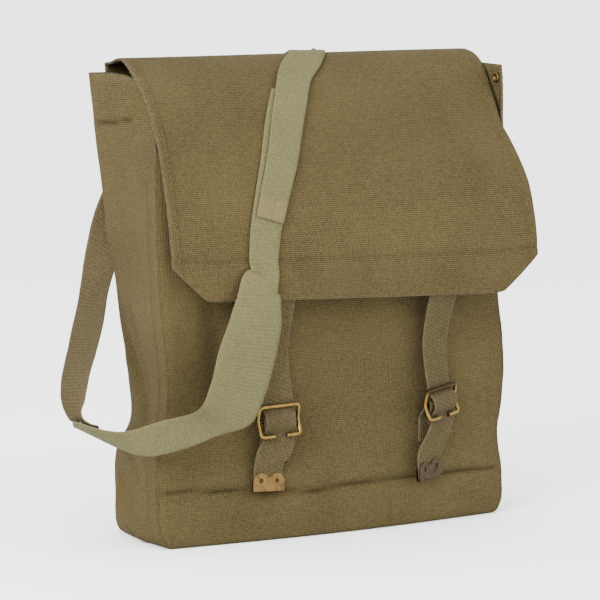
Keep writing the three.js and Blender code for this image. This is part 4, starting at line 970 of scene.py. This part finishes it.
def close_bag(piece):
    """Sews the wrapped sheet together and fills its foot with rings that shrink to the middle."""
    take(piece)
    bpy.ops.object.mode_set(mode="EDIT")
    bpy.ops.mesh.select_all(action="SELECT")
    bpy.ops.mesh.remove_doubles(threshold=0.00001)
    bpy.ops.object.mode_set(mode="OBJECT")
    work = bmesh.new()
    work.from_mesh(piece.data)
    uv_layer = work.loops.layers.uv.active
    # The round at the foot crowds a corner's last points together, where they would fold over
    bmesh.ops.remove_doubles(work, verts=[v for v in work.verts if v.co.z < 0.0002], dist=0.0003)
    bottom = [e for e in work.edges if e.is_boundary and all(v.co.z < 0.0002 for v in e.verts)]
    ring, previous = bottom, 1.0
    for share in (0.9, 0.75, 0.55, 0.3):
        made = bmesh.ops.extrude_edge_only(work, edges=ring)["geom"]
        verts = [g for g in made if isinstance(g, bmesh.types.BMVert)]
        ring = [g for g in made if isinstance(g, bmesh.types.BMEdge)]
        middle = sum((v.co for v in verts), Vector()) / len(verts)
        for v in verts:
            v.co = middle + (v.co - middle) * (share / previous)
        previous = share
    cap = bmesh.ops.contextual_create(work, geom=ring)["faces"]
    bmesh.ops.triangulate(work, faces=cap)
    for face in work.faces:
        if all(v.co.z < 0.0002 for v in face.verts):
            for loop in face.loops:
                loop[uv_layer].uv = loop.vert.co.xy
    bmesh.ops.recalc_face_normals(work, faces=work.faces)
    middle = sum((f.calc_center_median() for f in work.faces), Vector()) / len(work.faces)
    if sum(f.normal.dot(f.calc_center_median() - middle) * f.calc_area() for f in work.faces) < 0:
        bmesh.ops.reverse_faces(work, faces=work.faces)
    work.to_mesh(piece.data)
    work.free()
    piece.data.update()


def eyelet_place():
    """The eyelet's middle in the right weather flap, and the way that it faces."""
    along = EYELET_FROM_FRONT / (BAG_DEPTH - 2 * CORNER)
    z = rim_height("right", np.array([along]))[0][0] - EYELET_FROM_TOP
    here = wall(1, along, z)[0]
    sideways = wall(1, along + 0.02, z)[0] - wall(1, along - 0.02, z)[0]
    upward = wall(1, along, z + 2)[0] - wall(1, along, z - 2)[0]
    outward = unit(np.cross(sideways, upward))
    return here - outward * CANVAS / 2, outward


def drill_eyelet(piece):
    """Cuts the eyelet's hole through the cloth with a cylinder."""
    at, outward = eyelet_place()
    deselect()
    bpy.ops.mesh.primitive_cylinder_add(vertices=32, radius=(EYELET_HOLE / 2 + EYELET_RIM + GAP) * MM,
                                        depth=CANVAS * 5 * MM, location=Vector(at) * MM,
                                        rotation=Vector(outward).to_track_quat("Z", "Y").to_euler())
    drill = bpy.context.object
    hole = piece.modifiers.new("hole", "BOOLEAN")
    hole.operation, hole.solver, hole.object = "DIFFERENCE", "EXACT", drill
    apply_all(piece)
    bpy.data.objects.remove(drill)


# ---- The flap ----

def flap_reach(across):
    """How far down the flap reaches, as a share of its length, with its free corners cut."""
    into_cut = FLAP_CUT - np.minimum(across, 1 - across) * BAG_WIDTH
    return 1 - (into_cut + np.sqrt(into_cut ** 2 + 9.0)) / 2 / FLAP_LENGTH


def flap_cloth(across, along):
    """The middle of the flap's cloth with its hems, dents and unevenness, and the way it faces."""
    middle, normal = flap_middle(across, along), flap_normal(across, along)
    uneven = ripple(middle, 60.0, 11) * 0.9 + ripple(middle, 20.0, 13) * 0.3
    from_side = np.minimum(across, 1 - across) * BAG_WIDTH
    from_end = (1 - along) * FLAP_LENGTH
    raised = smooth((HEM - from_end) / 1.5) * 0.5 - 0.5 * hill(from_end - HEM - 0.8, 1.6)
    side_hem = smooth((SIDE_HEM - from_side) / 1.5) * 0.4 - 0.35 * hill(from_side - SIDE_HEM - 0.6, 1.2)
    free = smooth((along - 0.2) * 5)
    return middle + normal * (uneven * free + raised + side_hem * free)[:, None], normal


def build_flap():
    """The cover flap as a sheet along its side edges, denser towards the cut corners."""
    cut = FLAP_CUT / BAG_WIDTH
    side = np.linspace(0, cut, 11)
    across = np.concatenate([side[:-1], np.linspace(cut, 1 - cut, 75), 1 - side[-2::-1]])
    steps = np.concatenate([np.linspace(0, SEAM, 8)[:-1], np.linspace(SEAM, 1, 92)])
    share = np.clip((steps - SEAM) / (1 - SEAM), 0, 1)
    reach = flap_reach(across)
    along = np.where(steps[:, None] < SEAM, steps[:, None], SEAM + share[:, None] * (reach[None, :] - SEAM))
    flat_along, flat_across = along.ravel(), np.broadcast_to(across, along.shape).ravel()
    middle, _ = flap_cloth(flat_across, flat_along)
    from_side = np.minimum(flat_across, 1 - flat_across) * BAG_WIDTH
    from_edge = np.minimum(from_side, ((reach[None, :] - along) * FLAP_LENGTH).ravel())
    from_end = (1 - flat_along) * FLAP_LENGTH
    pale = 0.30 * smooth((1.8 - from_edge) / 1.8)
    # Painted shade in the grooves along the top of the hem and inside the side hems
    dark = 0.30 * hill(from_end - HEM - 0.8, 1.2) + 0.25 * hill(from_side - SIDE_HEM - 0.6, 1.0)
    piece = grid_piece("cover_flap_canvas", len(across), len(steps))
    uv = np.column_stack([flat_across * BAG_WIDTH, flat_along * FLAP_LENGTH])
    lay(piece, middle, uv, pale, dark)
    take(piece)
    thickness = piece.modifiers.new("cloth", "SOLIDIFY")
    thickness.thickness, thickness.offset, thickness.use_even_offset = FLAP_THICK * MM, 0.0, True
    apply_all(piece)
    finish_piece(piece, material("canvas"), "canvas", "cover_flap")
    return piece


def sew(name, places, runs, normals):
    """A row of stitches: one is modelled, then copied to each place along the seam."""
    deselect()
    bpy.ops.mesh.primitive_uv_sphere_add(segments=10, ring_count=6, radius=MM)
    first = bpy.context.object
    first.data.transform(Matrix.Diagonal((STITCH / 2, 0.45, 0.40, 1.0)))
    row = []
    for at, run, up in zip(places, runs, normals):
        dash = twin(first)
        turned = Matrix((run, np.cross(up, run), up)).transposed().to_4x4()
        dash.data.transform(Matrix.Translation(Vector(at) * MM) @ turned)
        row.append(dash)
    bpy.data.objects.remove(first)
    return finish_piece(join(row, name), material("thread"), "canvas")


def build_stitches():
    """The thread that holds the flap's hem, at the top of the hem and down both side edges."""
    step = STITCH_STEP / BAG_WIDTH
    across = np.arange(SIDE_HEM / BAG_WIDTH, 1 - SIDE_HEM / BAG_WIDTH, step)
    line = np.full(len(across), 1 - (HEM - 2.5) / FLAP_LENGTH)
    seams = [("flap_hem_thread", across, line, step / 2, 0.0)]
    down = np.arange(0.40, 1 - FLAP_CUT / FLAP_LENGTH, STITCH_STEP / FLAP_LENGTH)
    inside = 6.0 / BAG_WIDTH
    for side, edge in (("left", inside), ("right", 1 - inside)):
        seams.append((f"flap_{side}_edge_thread", np.full(len(down), edge), down, 0.0, 0.004))
    for name, over, along, step_over, step_along in seams:
        at, normal = flap_cloth(over, along)
        ahead, _ = flap_cloth(over + step_over, along + step_along)
        run = unit(ahead - at)
        normal = unit(normal - (normal * run).sum(-1, keepdims=True) * run)
        sew(name, at + normal * (FLAP_THICK / 2 + 0.25), run, normal)


# ---- Brass ----

def wire_piece(name, points, radius, matrix):
    """Round wire bent through points."""
    curve = bpy.data.curves.new(name, "CURVE")
    curve.dimensions, curve.bevel_depth, curve.bevel_resolution = "3D", radius * MM, 5
    curve.use_fill_caps = True
    spline = curve.splines.new("POLY")
    spline.points.add(len(points) - 1)
    for spot, point in zip(spline.points, points):
        spot.co = (*(matrix @ Vector(point) * MM), 1)
    piece = bpy.data.objects.new(name, curve)
    bpy.context.scene.collection.objects.link(piece)
    take(piece)
    bpy.ops.object.convert(target="MESH")
    return bpy.context.object


def rounded_path(corners, radius, steps=6):
    """A path through corners with each inner corner turned on an arc."""
    path = [Vector(corners[0])]
    for before, here, after in zip(corners, corners[1:], corners[2:]):
        before, here, after = Vector(before), Vector(here), Vector(after)
        size = min(radius, (before - here).length / 2, (after - here).length / 2)
        a = here + (before - here).normalized() * size
        b = here + (after - here).normalized() * size
        for i in range(steps + 1):
            t = i / steps
            path.append(a * (1 - t) ** 2 + here * 2 * t * (1 - t) + b * t * t)
    path.append(Vector(corners[-1]))
    return path


def build_buckle(closing):
    """A wire frame, open at the foot between its prongs, with a middle bar; the right one's top is dark."""
    name = f"buckle_{closing['name']}"
    half, rise, prong = BUCKLE_WIDTH / 2 - WIRE, BUCKLE_HEIGHT / 2 - WIRE, PRONG_GAP / 2
    matrix = buckle_place(closing)
    left = [(-prong, -BUCKLE_BEND, -rise), (-half, -BUCKLE_BEND, -rise), (-half, -0.5, 0),
            (-half, -BUCKLE_BEND, rise)]
    right = [(-x, y, z) for x, y, z in reversed(left)]
    frame_wire = wire_piece(name, rounded_path(left + right, BUCKLE_ROUND), WIRE, matrix)
    bar = wire_piece("bar", [(-half, 0, 0), (half, 0, 0)], WIRE * 0.9, matrix)
    frame_wire = join([frame_wire, bar], f"{name}_brass")
    if closing["name"] == "right":
        back_in = matrix.inverted()
        heights = np.array([(back_in @ (v.co / MM)).z for v in frame_wire.data.vertices])
        layer = frame_wire.data.attributes.new("dark", "FLOAT", "POINT")
        layer.data.foreach_set("value", 0.85 * smooth((heights - rise + 3.5) / 2.5))
    return finish_piece(frame_wire, material("brass"), "brass", name)


def build_tip(closing):
    """A plate folded over the strap's end: drawn as an outline, holed, and given its thickness."""
    def arc(x, y, radius, angles):
        return [(x + radius * math.cos(a), y + radius * math.sin(a)) for a in angles]

    name = f"strap_tip_{closing['name']}"
    half, low, high = TIP_WIDTH / 2, -TIP_HEIGHT / 2, TIP_HEIGHT / 2
    lobe = half / 2
    outline = [(-half, low), (half, low)]
    outline += arc(lobe, high - lobe, lobe, np.linspace(0, math.pi * 0.8, 14))
    outline += arc(-lobe, high - lobe, lobe, np.linspace(math.pi * 0.2, math.pi, 14))
    circle = np.linspace(0, 2 * math.pi, 24, endpoint=False)
    holes = [arc(x, high - TIP_HOLE_DOWN, TIP_HOLE / 2, circle) for x in (-TIP_SPACING / 2, TIP_SPACING / 2)]
    curve = bpy.data.curves.new("tip", "CURVE")
    curve.dimensions, curve.fill_mode = "2D", "BOTH"
    curve.extrude, curve.bevel_depth, curve.bevel_resolution = (TIP_PLATE / 2 - TIP_BEVEL) * MM, TIP_BEVEL * MM, 2
    for line in [outline, *holes]:
        spline = curve.splines.new("POLY")
        spline.points.add(len(line) - 1)
        for spot, (x, y) in zip(spline.points, line):
            spot.co = (x * MM, y * MM, 0, 1)
        spline.use_cyclic_u = True
    plate = bpy.data.objects.new("plate", curve)
    bpy.context.scene.collection.objects.link(plate)
    take(plate)
    bpy.ops.object.convert(target="MESH")
    plate = bpy.context.object
    apart = WEBBING / 2 + 2.2 * GAP
    stand = tip_place(closing)
    stand.translation = stand.translation * MM
    upright = Matrix.Rotation(math.pi / 2, 4, "X")
    back = twin(plate)
    for part, side in ((plate, -1), (back, 1)):
        part.data.transform(stand @ Matrix.Translation((0, side * (apart + TIP_PLATE / 2) * MM, 0)) @ upright)
    deselect()
    bpy.ops.mesh.primitive_cylinder_add(vertices=24, radius=(apart + TIP_PLATE) * MM, depth=TIP_WIDTH * MM,
                                        rotation=(0, math.pi / 2, 0))
    fold = bpy.context.object
    bpy.ops.object.transform_apply(location=False, rotation=True, scale=False)
    fold.data.transform(stand @ Matrix.Translation((0, 0, (low + 0.3) * MM)) @ Matrix.Scale(0.5, 4, (0, 0, 1)))
    kind, slot = ("tip", "brass") if closing["name"] == "left" else ("dull", "dull_brass")
    return finish_piece(join([plate, back, fold], f"{name}_brass"), material(kind), slot, name)


def build_eyelet():
    """A turned ring with a rolled flange on each face of the cloth."""
    at, outward = eyelet_place()
    barrel = EYELET_HOLE / 2 + EYELET_RIM
    reach = CANVAS / 2 + 3 * GAP
    parts = []
    for side in (-1, 1):
        deselect()
        bpy.ops.mesh.primitive_torus_add(major_radius=(EYELET_HOLE / 2 + EYELET_FLANGE / 2) / 2 * MM,
                                         minor_radius=(EYELET_FLANGE - EYELET_HOLE) / 4 * MM,
                                         major_segments=48, minor_segments=14, location=(0, 0, 0))
        ring = bpy.context.object
        flattened = Matrix.Scale(0.7, 4, (0, 0, 1))
        ring.data.transform(Matrix.Translation((0, 0, side * (reach + 0.35) * MM)) @ flattened)
        parts.append(ring)
    deselect()
    bpy.ops.mesh.primitive_cylinder_add(vertices=48, radius=barrel * MM, depth=2 * reach * MM,
                                        end_fill_type="NOTHING")
    tube = bpy.context.object
    wall_modifier = tube.modifiers.new("rim", "SOLIDIFY")
    wall_modifier.thickness, wall_modifier.offset = EYELET_RIM * MM, -1.0
    apply_all(tube)
    piece = join([*parts, tube], "eyelet_right_brass")
    turned = Vector(outward).to_track_quat("Z", "Y").to_matrix().to_4x4()
    piece.data.transform(Matrix.Translation(Vector(at) * MM) @ turned)
    return finish_piece(piece, material("tip"), "brass", "eyelet_right")


# ---- Stage ----

AZIMUTH, ELEVATION, DISTANCE, TARGET, LENS = -32, 6, 2.6, (-0.003, 0, 0.181), 193.0
PAPER, SKY = 0.95, 3.2
# Name, place, size in metres and power in watts
LIGHTS = (
    ("key", (-2.0, -1.1, 1.3), 1.3, 122.0),
    ("fill", (1.2, -2.0, 0.8), 1.4, 21.0),
    ("top", (0.1, 0.4, 2.2), 1.6, 6.0),
)


def build_stage():
    """A sheet of white paper, three soft lights and the camera at the photo's angle."""
    deselect()
    bpy.ops.mesh.primitive_plane_add(size=9.0, location=(0, 0, 0))
    floor = bpy.context.object
    floor.name = "floor"
    paper, tree, shader = new_material("white_paper")
    shader.inputs["Base Color"].default_value = (PAPER, PAPER, PAPER, 1)
    shader.inputs["Roughness"].default_value = 0.95
    shader.inputs["Specular IOR Level"].default_value = 0.1
    floor.data.materials.append(paper)
    world = bpy.context.scene.world or bpy.data.worlds.new("studio")
    bpy.context.scene.world = world
    world.use_nodes = True
    sky = world.node_tree.nodes["Background"]
    sky.inputs[0].default_value, sky.inputs[1].default_value = (1, 1, 1, 1), SKY
    for name, at, size, power in LIGHTS:
        deselect()
        bpy.ops.object.light_add(type="AREA", location=at)
        light = bpy.context.object
        light.name = name
        light.data.size, light.data.energy = size, power
        light.rotation_euler = (Vector((0, 0, 0.18)) - Vector(at)).to_track_quat("-Z", "Y").to_euler()
    azimuth, elevation = math.radians(AZIMUTH), math.radians(ELEVATION)
    level = math.cos(elevation)
    back = Vector((math.sin(azimuth) * level, -math.cos(azimuth) * level, math.sin(elevation)))
    deselect()
    bpy.ops.object.camera_add(location=Vector(TARGET) + back * DISTANCE)
    camera = bpy.context.object
    camera.rotation_euler = (-back).to_track_quat("-Z", "Y").to_euler()
    camera.data.lens, camera.data.sensor_width = LENS, 36.0
    camera.data.clip_start, camera.data.clip_end = 0.05, 60.0
    bpy.context.scene.camera = camera


# ---- Add-on layout ----

def colour_setting(name, description, code):
    return bpy.props.FloatVectorProperty(name=name, description=description, subtype="COLOR", size=4,
                                         min=0.0, max=1.0, default=linear(code))


class PackSizes(bpy.types.PropertyGroup):
    canvas: bpy.props.FloatProperty(name="Canvas", description="Thickness of the bag's cloth",
                                    default=CANVAS * MM, min=0.001, max=0.003, precision=4, unit="LENGTH")
    webbing: bpy.props.FloatProperty(name="Webbing", description="Thickness of every strap",
                                     default=WEBBING * MM, min=0.001, max=0.003, precision=4, unit="LENGTH")
    # Real canvas has a thread about every 0.7 mm, too fine for the render, so it is drawn twice as coarse
    weave: bpy.props.FloatProperty(name="Weave", description="Distance between two threads of the cloth",
                                   default=0.0015, min=0.0005, max=0.005, precision=4, unit="LENGTH")


class PackColours(bpy.types.PropertyGroup):
    canvas: colour_setting("Canvas", "Colour of the bag and the cover flap", "#84744a")
    olive: colour_setting("Olive webbing", "Colour of the closing straps and the rear strap", "#83734e")
    sage: colour_setting("Sage webbing", "Colour of the shoulder strap", "#ada775")
    brass: colour_setting("Brass", "Colour of the polished brass", "#e0b566")


class PACK_OT_stage(bpy.types.Operator):
    """Adds the floor, the studio lights and the camera"""
    bl_idname = "pack.stage"
    bl_label = "Stage"

    def execute(self, context):
        build_stage()
        return {"FINISHED"}


class PACK_OT_bag(bpy.types.Operator):
    """Builds the canvas bag with its eyelet hole"""
    bl_idname = "pack.bag"
    bl_label = "Bag"

    def execute(self, context):
        build_bag()
        return {"FINISHED"}


class PACK_OT_flap(bpy.types.Operator):
    """Drapes the cover flap"""
    bl_idname = "pack.flap"
    bl_label = "Cover flap"

    def execute(self, context):
        build_flap()
        return {"FINISHED"}


class PACK_OT_stitches(bpy.types.Operator):
    """Sews the cover flap's hems"""
    bl_idname = "pack.stitches"
    bl_label = "Hem stitches"

    def execute(self, context):
        build_stitches()
        return {"FINISHED"}


class PACK_OT_shoulder_strap(bpy.types.Operator):
    """Lays the three lengths of the shoulder strap"""
    bl_idname = "pack.shoulder_strap"
    bl_label = "Shoulder strap"

    def execute(self, context):
        upper = strap_piece("shoulder_strap_upper_webbing", upper_stations(), seed=2, worn_ends=(0.0, 17.0))
        finish_piece(upper, material("sage"), "sage_webbing", "shoulder_strap_upper")
        # The pad's fold below the flap is paled: wear, and painted highlight on the fold's lit top
        pad = strap_piece("shoulder_strap_pad_webbing", pad_stations(), seed=3, worn_ends=(4.0, 4.0),
                          worn_and_highlit_at=8, crisp=True)
        finish_piece(pad, material("sage"), "sage_webbing", "shoulder_strap_pad")
        rear = strap_piece("shoulder_strap_rear_webbing", rear_stations(), seed=4)
        finish_piece(rear, material("olive"), "olive_webbing", "shoulder_strap_rear")
        return {"FINISHED"}


class PACK_OT_closings(bpy.types.Operator):
    """Builds the two closing straps with their chapes, buckles and tips"""
    bl_idname = "pack.closings"
    bl_label = "Closing straps"

    def execute(self, context):
        for closing in CLOSINGS:
            name = closing["name"]
            strap = strap_piece(f"closing_strap_{name}_webbing", closing_stations(closing), uneven=0.12, seed=6)
            finish_piece(strap, material("olive"), "olive_webbing", f"closing_strap_{name}")
            chape = strap_piece(f"buckle_chape_{name}_webbing", chape_stations(closing),
                                spacing=1.0, uneven=0.0, seed=7)
            finish_piece(chape, material("olive"), "olive_webbing", f"buckle_chape_{name}")
            build_buckle(closing)
            build_tip(closing)
        return {"FINISHED"}


class PACK_OT_eyelet(bpy.types.Operator):
    """Sets the brass eyelet in the right weather flap"""
    bl_idname = "pack.eyelet"
    bl_label = "Eyelet"

    def execute(self, context):
        build_eyelet()
        return {"FINISHED"}


class PACK_PT_panel(bpy.types.Panel):
    bl_label = "Field Pack"
    bl_idname = "PACK_PT_panel"
    bl_space_type = "VIEW_3D"
    bl_region_type = "UI"
    bl_category = "Field Pack"

    def draw(self, context):
        for name in ("canvas", "webbing", "weave"):
            self.layout.prop(context.scene.pack_sizes, name)
        for name in ("canvas", "olive", "sage", "brass"):
            self.layout.prop(context.scene.pack_colours, name)
        for operator in STEPS:
            self.layout.operator(operator.bl_idname)


STEPS = (PACK_OT_stage, PACK_OT_bag, PACK_OT_flap, PACK_OT_stitches, PACK_OT_shoulder_strap, PACK_OT_closings,
         PACK_OT_eyelet)
CLASSES = (PackSizes, PackColours, *STEPS, PACK_PT_panel)


def register():
    for item in CLASSES:
        bpy.utils.register_class(item)
    bpy.types.Scene.pack_sizes = bpy.props.PointerProperty(type=PackSizes)
    bpy.types.Scene.pack_colours = bpy.props.PointerProperty(type=PackColours)


def unregister():
    del bpy.types.Scene.pack_colours
    del bpy.types.Scene.pack_sizes
    for item in reversed(CLASSES):
        bpy.utils.unregister_class(item)


def main():
    register()
    for step in STEPS:
        getattr(bpy.ops.pack, step.bl_idname.split(".")[1])()
    deselect()
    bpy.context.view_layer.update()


if __name__ == "__main__":
    main()
